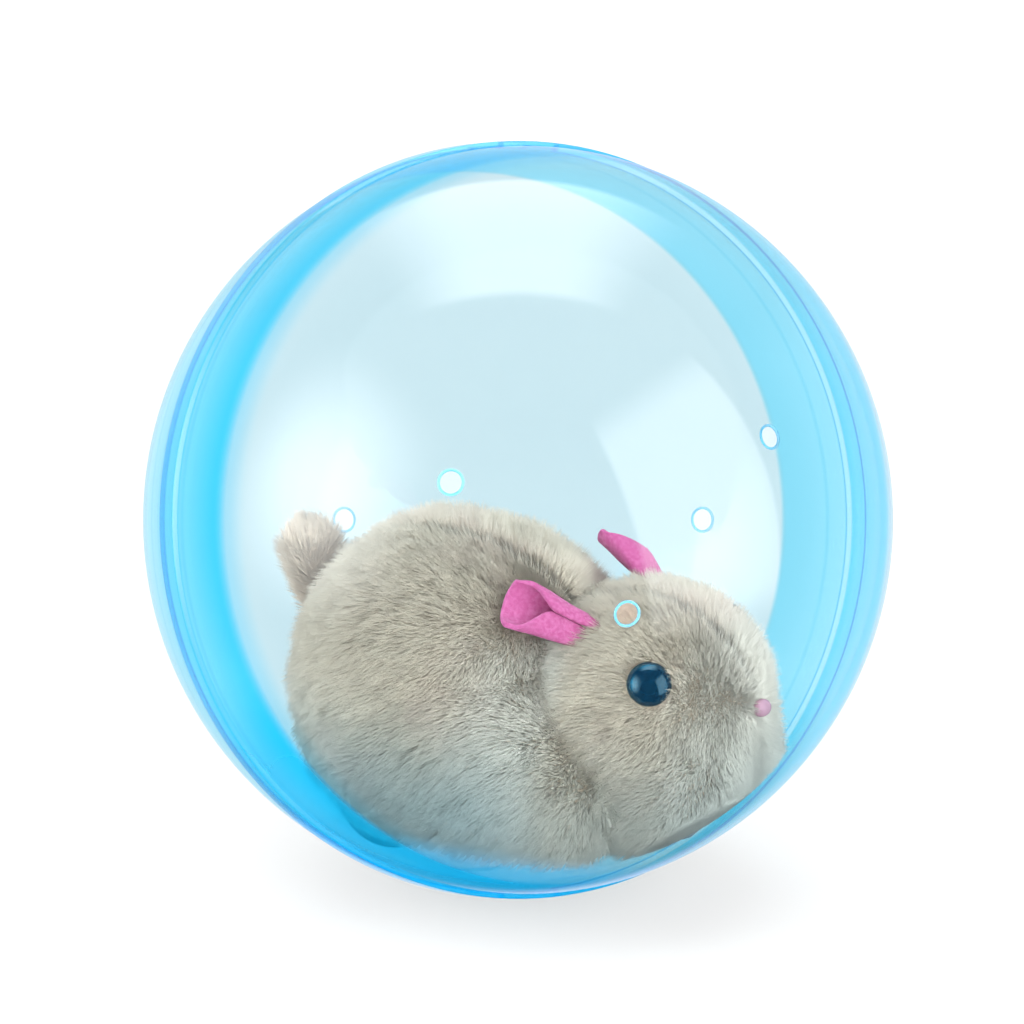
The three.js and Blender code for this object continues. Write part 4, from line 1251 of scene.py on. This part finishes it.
@dataclass
class Plush:
    """The stuffed hamster: body, head, tail, ears, eyes and nose.

    Args:
        body: Centre of the body, in millimetres, as the sizes below.
        head: Centre of the head.
        hem: Height of the hem.
        head_lift: How far the head's hem lies over that.
        reach: Furthest the backing lies from the ball's centre.
        strand_reach: Furthest a strand goes from there.
        depth: Backing below the top of the pile.
        seam_half: Half width of the seam along the animal's middle.
        seam_foot: Height at which the seam ends.
        rooms: Spans along X and Y of the room for the carriage.
        room_half: Reach of that room over the hem.
        in_head: The body's part inside the head: past this X, within this half width, below this Z.
        in_body: The head's part inside the body: before this X, below this Z.
        eye: Centre of the left eye.
        eye_way: Way that the left eye looks.
        eye_size: Half sizes of an eye across, along and out.
        eye_sunk: How far an eye is sunk in the pile.
        nose: Centre of the nose.
        nose_size: Half sizes of the nose.
        body_seam: Share of the body's pile lost on the seam, its half width, foot and fade.
        head_seam: The same for the head.
        low_pile: Height under which the body's pile is shorter, and its share.
        bare: Centre and radius of the places without pile, on the left and at the middle.
        bare_soft: Width over which the pile grows round them.
        tail_root: Root of the tail.
        tail_way: Way that the tail points.
        tail_nap: Way that its pile lies.
        tail_long: Length of the tail.
        tail_r: Radius of the tail at its root and towards its top.
        tail_cap: Share of the length that the round top takes.
        sharp: Angle over which an edge of a backing stays sharp, in degrees.
    """

    body: Vector = field(default_factory=lambda: Vector((-13.0, 0.0, -28.0)))
    head: Vector = field(default_factory=lambda: Vector((24.0, 0.0, -29.0)))
    hem: float = -48.5
    head_lift: float = 0.6
    reach: float = 58.0
    strand_reach: float = 59.3
    depth: float = 2.2
    seam_half: float = 0.7
    seam_foot: float = -30.0
    rooms: tuple[Quad, ...] = (
        (-26.0, 0.0, -14.2, 13.8),
        (-25.2, -4.6, -21.4, 21.4),
        (-5.0, 20.0, -24.7, 24.7),
        (18.0, 37.0, -8.2, 8.2),
    )
    room_half: float = 9.0
    in_head: Triple = (17.0, 19.0, -36.0)
    in_body: Pair = (22.0, -38.0)
    eye: Triple = (31.2, 16.3, -17.9)
    eye_way: Triple = (0.35, 0.74, 0.58)
    eye_size: Triple = (3.75, 3.75, 2.5)
    eye_sunk: float = 0.4
    nose: Triple = (44.2, 0.0, -25.9)
    nose_size: Triple = (1.5, 1.9, 1.45)
    body_seam: Quad = (0.7, 0.9, -30.0, 4.0)
    head_seam: Quad = (0.5, 0.8, -24.0, 3.0)
    low_pile: Pair = (-42.0, 0.8)
    bare: tuple[tuple[Triple, float], ...] = (
        ((31.2, 16.3, -17.9), 2.9),
        ((44.4, 0.0, -25.9), 0.9),
    )
    bare_soft: float = 1.7
    tail_root: Triple = (-36.0, 0.0, -22.5)
    tail_way: Triple = (-3.3, 0.0, 18.0)
    tail_nap: Triple = (-0.29, 0.0, 0.96)
    tail_long: float = 15.5
    tail_r: Pair = (1.2, 4.6)
    tail_cap: float = 0.22
    sharp: float = 50.0

    def body_point(self, way: Vector, grow: float) -> Vector:
        """Point of the body's surface.

        Args:
            way: Unit vector from the body's centre.
            grow: How far the surface is moved out.

        Returns:
            The point.
        """
        low = smooth(0.5 - 1.4 * way.z)
        r = roundness(way, 2.3 + low * (0.2 + 3.0 * smooth(0.5 + way.x)))
        front, rear = 29.0 + 13.0 * low, 23.5 - 8.5 * max(0.0, -way.z)
        long = front if way.x > 0 else rear
        half = 28.0 + 3.0 * low
        tall = 25.0 if way.z > 0 else 27.0
        size = Vector((long + grow, half + grow, tall + grow))
        return self.body + Vector(a * b for a, b in zip(size, way)) * r

    def head_point(self, way: Vector, grow: float) -> Vector:
        """Point of the head's surface.

        Args:
            way: Unit vector from the head's centre.
            grow: How far the surface is moved out.

        Returns:
            The point.
        """
        low = smooth(-2.0 * way.z)
        r = roundness(way, 2.2 + 1.2 * low)
        long = 21.0 if way.x > 0 else 20.0
        taper = 1.0 - 0.2 * max(0.0, way.x) ** 2
        tall = 21.0 if way.z > 0 else 24.0
        size = Vector((long + grow, (23.5 + grow) * taper, (tall + grow) * taper))
        return self.head + Vector(a * b for a, b in zip(size, way)) * r

    def form(self, point: Callable[[Vector, float], Vector], seam: float, lift: float = 0.0) -> BMesh:
        """Builds a backing: a ball of directions swelled to the form, open at the hem.

        Args:
            point: Surface of the form.
            seam: Depth of the seam along the animal's middle.
            lift: How far the form's hem lies over the animal's.

        Returns:
            The backing, in metres.
        """
        bm = bmesh.new()
        aside = Matrix.Rotation(math.pi / 2, 4, "Y")
        bmesh.ops.create_uvsphere(bm, u_segments=168, v_segments=112, radius=1.0, matrix=aside)
        for vert in bm.verts:
            spot = point(vert.co.normalized(), -self.depth)
            line = math.exp(-((spot.y / self.seam_half) ** 2)) if spot.z > self.seam_foot else 0.0
            spot.z -= seam * line
            if spot.length > self.reach:
                spot *= self.reach / spot.length
            vert.co = spot * MM
        bmesh.ops.bisect_plane(
            bm,
            geom=bm.verts[:] + bm.edges[:] + bm.faces[:],
            plane_co=(0, 0, (self.hem + lift) * MM),
            plane_no=(0, 0, -1),
            clear_outer=True,
        )
        bmesh.ops.recalc_face_normals(bm, faces=bm.faces)
        return bm

    def backing(self, name: str, bm: BMesh, cloth: Material) -> Object:
        """Closes a backing at the hem and cuts the carriage's room out of it.

        Args:
            name: Name of the object.
            bm: The open backing, freed here.
            cloth: Its material.

        Returns:
            The closed backing.
        """
        bmesh.ops.holes_fill(bm, edges=bm.edges[:])
        bmesh.ops.recalc_face_normals(bm, faces=bm.faces)
        made = make_object(name, bm, cloth)
        base, top = self.hem - self.room_half, self.hem + self.room_half
        for x0, x1, y0, y1 in self.rooms:
            room = bmesh.new()
            add_box(room, (x0, y0, base), (x1, y1, top))
            carve(made, room, "DIFFERENCE")
        made.data.set_sharp_from_angle(angle=math.radians(self.sharp))
        return made

    def furred(self, hide: Hide, cloth: Material) -> Object:
        """Makes one plush piece of its backing and its pile.

        Args:
            hide: What the piece is made of.
            cloth: Material of the backing.

        Returns:
            The piece.
        """
        outer = make_object(f"{hide.name}_pile", hide.bm.copy(), hide.fur)
        hide.coat.comb(outer, hide.nap, hide.pile)
        hide.coat.grow(outer, self.strand_reach)
        outer.data.materials.clear()
        outer.data.materials.append(hide.fur)
        make = self.backing if hide.open_hem else make_object
        skin = make(hide.name, hide.bm, cloth)
        with bpy.context.temp_override(active_object=skin, selected_editable_objects=[skin, outer]):
            bpy.ops.object.join()
        LOG.info("%s: %d faces", skin.name, len(skin.data.polygons))
        return skin

    def face_gap(self, spot: Vector) -> float:
        """Shortens the pile near the eyes and the nose.

        Args:
            spot: Where a strand grows.

        Returns:
            The share of its length that is left.
        """
        share = 1.0
        for centre, radius in self.bare:
            away = (Vector((spot.x, abs(spot.y), spot.z)) - Vector(centre)).length
            share = min(share, smooth((away - radius) / self.bare_soft))
        return share

    def parting(self, spot: Vector, share: float, half: float, foot: float, fade: float) -> float:
        """Returns the pile left when a seam takes that share over a half width, down to a fading foot."""
        return 1.0 - share * math.exp(-((spot.y / half) ** 2)) * smooth((spot.z - foot) / fade)

    def sideways(self, spot: Vector) -> float:
        """Returns how far the pile lies out to its own side, from -1 to 1."""
        return (1.0 if spot.y > 0 else -1.0) * smooth(abs(spot.y) / 3.0)

    def body_nap(self, spot: Vector) -> Vector:
        """Lays the pile back along the spine, then out and down the flanks."""
        return Vector((-0.7, 0.55 * self.sideways(spot), -0.65))

    def body_pile(self, spot: Vector) -> float:
        """Keeps the body's pile shorter along the seam and low down, and none inside the head.

        Args:
            spot: Where a strand grows.

        Returns:
            The share of its length that is left.
        """
        front, half, top = self.in_head
        if spot.x > front and abs(spot.y) < half and spot.z < top:
            return 0.0
        foot, share = self.low_pile
        return self.parting(spot, *self.body_seam) * (share if spot.z < foot else 1.0)

    def head_nap(self, spot: Vector) -> Vector:
        """Lays the head's pile away from the nose all round, then back over the face.

        Args:
            spot: Where a strand grows.

        Returns:
            The way that it lies.
        """
        round_nose = Vector((0.0, spot.y, spot.z - self.nose[2]))
        near = math.exp(-round_nose.length / 9.0)
        back = Vector((-1.0, 0.35 * self.sideways(spot), -0.35))
        return back + round_nose.normalized() * (2.0 * near)

    def head_pile(self, spot: Vector) -> float:
        """Keeps the head's pile shorter along the seam, the eyes and the nose, and none inside the body.

        Args:
            spot: Where a strand grows.

        Returns:
            The share of its length that is left.
        """
        rear, top = self.in_body
        if spot.x < rear and spot.z < top:
            return 0.0
        return self.parting(spot, *self.head_seam) * self.face_gap(spot)

    def build_fur(self) -> None:
        """Builds body, head and tail."""
        creams = (0.77, 0.59, 0.45), (0.85, 0.69, 0.54), (0.66, 0.49, 0.37)
        fur = Pile("cream_pile", *creams).build()
        browns = (0.66, 0.46, 0.33), (0.75, 0.57, 0.44), (0.8, 0.67, 0.56)
        tan = Pile("tan_pile", *browns, seam_shade=1.0).build()
        cloth = Cloth("cream_backing", (0.8, 0.6, 0.45), (0.7, 0.52, 0.38)).build()
        form = self.form(self.body_point, 0.7)
        hide = Hide("hamster_body", form, Coat(3.8), self.body_nap, self.body_pile, fur)
        body = self.furred(hide, cloth)
        form = self.form(self.head_point, 0.25, self.head_lift)
        hide = Hide("hamster_head", form, Coat(3.2, seed=11), self.head_nap, self.head_pile, fur)
        head = self.furred(hide, cloth)
        brush = Coat(3.2, density=24.0, lean=1.3, seed=21)
        rise = Vector(self.tail_nap)
        hide = Hide("hamster_tail", self.tail_form(), brush, lambda _: rise, lambda _: 1.0, tan, False)
        tail = self.furred(hide, cloth)
        pieces = ((body, "plush_body", "fur"), (head, "plush_head", "fur"), (tail, "plush_tail", "tail_fur"))
        for made, node, slot in pieces:
            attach(made, "carriage")
            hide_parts(node)

    def tail_form(self) -> BMesh:
        """Builds the tail's backing: a turned brush that widens to a round top behind the rump.

        Returns:
            The backing, in metres.
        """
        steps, (root_r, top_r) = 28, self.tail_r
        profile = [(0.0, self.tail_long)]
        for i in range(1, steps):
            height = 1.0 - i / steps
            cap = math.sqrt(min(1.0, (1.0 - height) / self.tail_cap))
            profile.append(((root_r + (top_r - root_r) * height**0.7) * cap, self.tail_long * height))
        profile += [(root_r, 0.0), (0.0, -0.4)]
        bm = turned(profile, 32)
        turn = Vector(self.tail_way).normalized().to_track_quat("Z", "X").to_matrix().to_4x4()
        settle(bm, Matrix.Translation(self.tail_root) @ turn)
        return bm

    def dome(self, name: str, place: Matrix, sides: int, rings: int, look: Material) -> Object:
        """Builds a dome that is sewn on.

        Args:
            name: Name of the object.
            place: Place and half sizes, in millimetres.
            sides: Faces round it.
            rings: Faces from pole to pole.
            look: Its material.

        Returns:
            The dome.
        """
        bm = bmesh.new()
        whole = Matrix.Scale(MM, 4) @ place
        bmesh.ops.create_uvsphere(bm, u_segments=sides, v_segments=rings, radius=1.0, matrix=whole)
        return make_object(name, bm, look)

    def build_buttons(self) -> None:
        """Builds the eyes and the nose."""
        black = Bead("eye_black", (0.002, 0.024, 0.045)).build()
        pink = Solid("nose_pink", to_linear(182, 134, 152), 0.55).build()
        for side in Side:
            mirror = Matrix.Scale(side.value, 4, (0, 1, 0))
            way = (mirror @ Vector(self.eye_way)).normalized()
            turn = way.to_track_quat("Z", "Y").to_matrix().to_4x4()
            centre = mirror @ Vector(self.eye) - self.eye_sunk * way
            place = Matrix.Translation(centre) @ turn @ Matrix.Diagonal((*self.eye_size, 1))
            eye = self.dome(f"eye_{side.name.lower()}_dome", place, 48, 28, black)
            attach(eye, "carriage")
            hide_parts(f"eye_{side.name.lower()}")
        place = Matrix.Translation(self.nose) @ Matrix.Diagonal((*self.nose_size, 1))
        nose = self.dome("nose_dome", place, 40, 24, pink)
        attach(nose, "carriage")
        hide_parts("nose")

    def build_ears(self) -> None:
        """Builds the folded felt ears."""
        rose, shade = to_linear(203, 108, 153), to_linear(181, 79, 128)
        felt = Cloth("pink_felt", rose, shade, 1500.0, 0.16 * MM, 0.1).build()
        for side in Side:
            ear = Ear(side).build(felt)
            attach(ear, "carriage")
            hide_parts(f"ear_{side.name.lower()}")

    def build(self) -> None:
        """Builds the whole animal."""
        self.build_fur()
        self.build_buttons()
        self.build_ears()


@dataclass
class Ear:
    """One felt ear: a leaf folded shut at its root that opens towards its tip.

    Args:
        side: Which ear.
        long: Length, in millimetres, as the sizes below.
        rooted: Length hidden in the pile.
        tall: Half height at the root and at the tip.
        deep: Half depth at the root and at the tip.
        shut: Half turn of the fold at the root, as a share of a half circle.
        ajar: Half turn of the fold at the tip, as a share of a half circle.
        thick: Thickness of the felt.
        opens: Share of the length at which the fold opens.
        crease: Height of the creases.
        lap: How far one edge laps over the other near the root.
        root: Place of the left ear's root, and the right one's place along X.
        turned: Turns of the left ear, in degrees, and their axes.
        rows: Steps along the ear.
        columns: Steps across it.
    """

    side: Side
    long: float = 14.5
    rooted: float = 2.5
    tall: Pair = (3.3, 5.0)
    deep: Pair = (1.2, 2.8)
    shut: float = 1.02
    ajar: float = 0.42
    thick: float = 0.9
    opens: float = 0.5
    crease: float = 0.3
    lap: float = 0.9
    root: Quad = (20.0, 10.6, -14.0, 16.8)
    turned: tuple[tuple[float, str], ...] = ((154.0, "Z"), (-21.0, "Y"), (37.0, "X"))
    rows: int = 34
    columns: int = 32

    def spot(self, along: float, across: float) -> Vector:
        """Point of the folded leaf.

        Args:
            along: Share of the length from the root.
            across: Share of the half width, from -1 to 1.

        Returns:
            The point, length along X, height along Y, fold towards Z.
        """
        wide = smooth(along)
        tall = self.tall[0] + (self.tall[1] - self.tall[0]) * wide
        deep = self.deep[0] + (self.deep[1] - self.deep[0]) * wide
        opened = smooth((along - self.opens) / (1.0 - self.opens))
        turn = math.pi * (self.shut + (self.ajar - self.shut) * opened) * across
        crease = self.crease * noise.noise(Vector((along * 3.4, across * 2.6, 3.7 * self.side.value)))
        trim = 1.0 - 0.05 * opened * across**2
        lapped = self.lap * smooth((across - 0.55) / 0.35) * smooth((0.75 - along) / 0.3)
        x = -self.rooted + (self.long + self.rooted) * along * trim
        return Vector((x, tall * math.sin(turn), deep * (1.0 - math.cos(turn)) + crease + lapped))

    def build(self, felt: Material) -> Object:
        """Builds the ear.

        Args:
            felt: Its material.

        Returns:
            The ear.
        """
        bm = bmesh.new()
        bmesh.ops.create_grid(bm, x_segments=self.rows, y_segments=self.columns, size=0.5)
        for vert in bm.verts:
            vert.co = self.spot(vert.co.x + 0.5, 2.0 * vert.co.y)
        bmesh.ops.recalc_face_normals(bm, faces=bm.faces)
        bmesh.ops.solidify(bm, geom=bm.faces[:], thickness=self.thick)
        x, y, z, right_x = self.root
        place = Matrix.Translation((x if self.side is Side.LEFT else right_x, y, z))
        for turn in self.turned:
            place = place @ turns(turn)
        settle(bm, Matrix.Scale(self.side.value, 4, (0, 1, 0)) @ place)
        made = make_object(f"ear_{self.side.name.lower()}_felt", bm, felt)
        step = made.modifiers.new("soft", "SUBSURF")
        step.levels = step.render_levels = 1
        LOG.info("%s: %d faces", made.name, len(made.data.polygons))
        return made


# Carriage


@dataclass
class Carriage:
    """The motor carriage: its CAD pieces in their finishes.

    Args:
        finishes: Finish by material slot of the record.
        weld: Distance at which points are welded, in metres.
        sharp: Angle over which an edge stays sharp, in degrees.
    """

    finishes: dict[str, Solid] = field(
        default_factory=lambda: {
            "white_plastic": Solid("white_plastic", (0.78, 0.78, 0.75), 0.42),
            "grey_plastic": Solid("grey_plastic", (0.27, 0.285, 0.3), 0.45),
            "black_plastic": Solid("black_plastic", (0.015, 0.015, 0.017), 0.4),
            "gear_plastic": Solid("gear_plastic", (0.78, 0.71, 0.54), 0.4),
            "rubber": Solid("rubber", (0.02, 0.02, 0.022), 0.8, depth=0.03 * MM),
            "cell_wrap": Solid("cell_wrap", (0.03, 0.16, 0.08), 0.3, coat=0.4),
            "steel": Solid("steel", (0.62, 0.63, 0.65), 0.28, metal=1.0, grain=4000.0),
        }
    )
    weld: float = 0.002 * MM
    sharp: float = 32.0

    def build(self) -> None:
        """Gives every shown CAD piece its finish and smooth shading."""
        made = {slot: finish.build() for slot, finish in self.finishes.items()}
        slots = {row["node"]: row["material_slot"] for row in frame["record"]["subparts"]}
        for name, node in frame["nodes"].items():
            if node.hide_render:
                continue
            node.data.materials.clear()
            node.data.materials.append(made[slots[name]])
            self.soften(node)
            LOG.info("%s: %s", name, slots[name])

    def soften(self, node: Object) -> None:
        """Welds a CAD piece and smooths its shading up to its sharp edges.

        Args:
            node: The piece.
        """
        weld = node.modifiers.new("weld", "WELD")
        weld.merge_threshold = self.weld
        split = node.modifiers.new("edges", "EDGE_SPLIT")
        split.split_angle = math.radians(self.sharp)
        if "custom_normal" in node.data.attributes:
            node.data.attributes.remove(node.data.attributes["custom_normal"])
        node.data.polygons.foreach_set("use_smooth", np.ones(len(node.data.polygons), bool))


# Studio


@dataclass(frozen=True)
class Lamp:
    """An area lamp for the diffuse light.

    Args:
        name: Name of the lamp.
        way: Place along the camera's axes, in metres.
        size: Width and height, in metres.
        power: Power, in watts.
    """

    name: str
    way: Triple
    size: Pair
    power: float


@dataclass(frozen=True)
class Card:
    """A softbox that shows only in reflections.

    Args:
        name: Name of the card.
        way: Place along the camera's axes, in metres.
        size: Width and height, in metres.
        light: Brightness in the middle.
        soft: Share of the half width and of the half height over which the edges fade.
    """

    name: str
    way: Triple
    size: Pair
    light: float
    soft: Pair


@dataclass
class Studio:
    """White studio: floor, lamps, reflected softboxes and the camera.

    Args:
        azimuth: Camera angle round the object, in degrees.
        elevation: Camera angle over the horizon, in degrees.
        away: Camera distance, in metres.
        width: Width of the view at the object, in metres.
        shift: Camera shift to the right and up, in metres.
        floor: Height of the floor, in metres.
        floor_half: Half width of the floor, in metres.
        floor_grey: Colour of the floor.
        floor_glow: Distances in metres, and the floor's own light at them.
        behind: Facing of the camera, and brightness of the reflected surroundings there.
        under: Way down, and brightness of the reflected surroundings there.
        lamps: The lamps.
        cards: The softboxes.
    """

    azimuth: float = 25.0
    elevation: float = 21.0
    away: float = 1.8
    width: float = 0.169
    shift: Pair = (-0.0010, 0.0013)
    floor: float = -0.0619
    floor_half: float = 12.0
    floor_grey: Colour = (0.3, 0.3, 0.3)
    floor_glow: Quad = (0.25, 0.8, 0.5, 0.72)
    behind: Quad = (-0.55, 0.1, 1.0, 0.07)
    under: Quad = (-0.73, -0.54, 0.03, 1.0)
    lamps: tuple[Lamp, ...] = (
        Lamp("lamp_top", (0.0, 0.62, 0.08), (0.5, 0.5), 2.9),
        Lamp("lamp_right", (0.55, 0.12, 0.45), (0.4, 0.6), 4.0),
        Lamp("lamp_left", (-0.62, 0.22, 0.1), (0.4, 0.4), 4.2),
        Lamp("lamp_back", (0.15, 0.35, -0.6), (0.5, 0.5), 2.4),
        Lamp("lamp_front", (0.12, -0.1, 0.8), (0.5, 0.5), 5.4),
    )
    cards: tuple[Card, ...] = (
        Card("card_top", (0.0, 0.6, -0.07), (0.72, 0.66), 4.4, (0.75, 0.16)),
        Card("card_right", (0.5, 0.05, 0.33), (0.56, 0.9), 3.2, (0.12, 0.4)),
        Card("card_left", (-0.51, 0.08, 0.28), (0.85, 0.9), 7.2, (1.0, 1.0)),
        Card("card_rim", (-0.34, 0.18, -0.48), (0.34, 0.8), 1.2, (0.6, 0.6)),
    )

    @property
    def axes(self) -> tuple[Vector, Vector, Vector]:
        """The camera's axes.

        Returns:
            Unit vectors to its right, up and back.
        """
        a, e = math.radians(self.azimuth), math.radians(self.elevation)
        right = Vector((math.cos(a), math.sin(a), 0))
        back = Vector((math.sin(a) * math.cos(e), -math.cos(a) * math.cos(e), math.sin(e)))
        return right, back.cross(right), back

    def seen(self, right: float, up: float, back: float) -> Vector:
        """Returns a vector given along the camera's axes."""
        x, y, z = self.axes
        return x * right + y * up + z * back

    def build_camera(self) -> None:
        """Sets the camera."""
        data = bpy.data.cameras.new("camera")
        data.sensor_width = 36.0
        data.lens = data.sensor_width * self.away / self.width
        data.clip_end = 20.0
        camera = bpy.data.objects.new("camera", data)
        camera.location = self.seen(*self.shift, self.away)
        camera.rotation_mode = "QUATERNION"
        camera.rotation_quaternion = (-self.axes[2]).to_track_quat("-Z", "Y")
        bpy.context.scene.collection.objects.link(camera)
        bpy.context.scene.camera = camera

    def place_lamp(self, lamp: Lamp) -> None:
        """Adds a lamp, turned towards the ball and hidden from reflections.

        Args:
            lamp: The lamp.
        """
        data = bpy.data.lights.new(lamp.name, "AREA")
        data.shape = "RECTANGLE"
        data.size, data.size_y = lamp.size
        data.energy = lamp.power
        made = bpy.data.objects.new(lamp.name, data)
        made.location = self.seen(*lamp.way)
        made.rotation_mode = "QUATERNION"
        made.rotation_quaternion = (-made.location).to_track_quat("-Z", "Y")
        made.visible_glossy = False
        made.visible_camera = False
        bpy.context.scene.collection.objects.link(made)

    def place_card(self, box: Card) -> None:
        """Adds a softbox, turned towards the ball and fading out at its edges.

        Args:
            box: The softbox.
        """
        bm = bmesh.new()
        bmesh.ops.create_grid(bm, x_segments=1, y_segments=1, size=1.0)
        centre = self.seen(*box.way)
        turn = (-centre).to_track_quat("Z", "Y").to_matrix().to_4x4()
        g = Graph(f"{box.name}_light")
        apart = g.add("SeparateXYZ", {0: g.place()})
        x, y = (g.math("ABSOLUTE", apart.outputs[i]) for i in range(2))
        cover = g.times(g.ease(x, 1.0, 1.0 - box.soft[0]), g.ease(y, 1.0, 1.0 - box.soft[1]))
        glow = g.add("Emission", {"Color": WHITE, "Strength": box.light})
        gone = g.add("BsdfTransparent", {"Color": WHITE})
        card = make_object(box.name, bm, g.done(g.blend(cover, gone, glow)))
        half = Matrix.Diagonal((box.size[0] / 2, box.size[1] / 2, 1, 1))
        card.matrix_world = Matrix.Translation(centre) @ turn @ half
        for ray in ("camera", "diffuse", "transmission", "volume_scatter", "shadow"):
            setattr(card, f"visible_{ray}", False)

    def build_floor(self) -> None:
        """Lays the pale floor, which reflections don't show."""
        bm = bmesh.new()
        level = Matrix.Translation((0, 0, self.floor))
        bmesh.ops.create_grid(bm, x_segments=1, y_segments=1, size=self.floor_half, matrix=level)
        g = Graph("floor_white")
        matte = g.add("BsdfDiffuse", {"Color": self.floor_grey})
        light = g.ease(g.vector("LENGTH", g.place()), *self.floor_glow)
        glow = g.add("Emission", {"Color": WHITE, "Strength": light})
        seen = g.add("AddShader", {0: matte.outputs[0], 1: glow.outputs[0]})
        floor = make_object("floor", bm, g.done(seen))
        floor.visible_glossy = False

    def build_world(self) -> None:
        """Sets the white surroundings, which reflections show dim in front and below."""
        world = bpy.data.worlds.new("studio")
        world.use_nodes = True
        g = Nodes(world.node_tree)
        way = g.add("TexCoord").outputs["Generated"]
        behind = g.ease(g.vector("DOT_PRODUCT", way, self.axes[2]), *self.behind)
        under = g.ease(g.add("SeparateXYZ", {0: way}).outputs["Z"], *self.under)
        glossy = g.add("LightPath").outputs["Is Glossy Ray"]
        level = g.add("Mix", {0: glossy, 2: 1.0, 3: g.times(behind, under)})
        sky = world.node_tree.nodes["Background"]
        g.put(sky.inputs["Color"], WHITE)
        g.put(sky.inputs["Strength"], level.outputs[0])
        bpy.context.scene.world = world

    def build(self) -> None:
        """Builds the whole studio."""
        scene = bpy.context.scene
        scene.view_settings.view_transform = "Standard"
        scene.cycles.transparent_max_bounces = 40
        scene.cycles.max_bounces = 16
        self.build_floor()
        self.build_world()
        self.build_camera()
        for lamp in self.lamps:
            self.place_lamp(lamp)
        for card in self.cards:
            self.place_card(card)
        LOG.info("studio: camera %.0f,%.0f", self.azimuth, self.elevation)


# Sizes and the whole toy


def main() -> None:
    """Builds the toy and its studio."""
    logging.basicConfig(level=logging.INFO, format="%(name)s: %(message)s")
    for old in [o for o in bpy.data.objects if o.name in ("Cube", "Light", "Camera")]:
        bpy.data.objects.remove(old)
    Ball().build()
    Plush().build()
    Carriage().build()
    Studio().build()


if __name__ == "__main__":
    main()
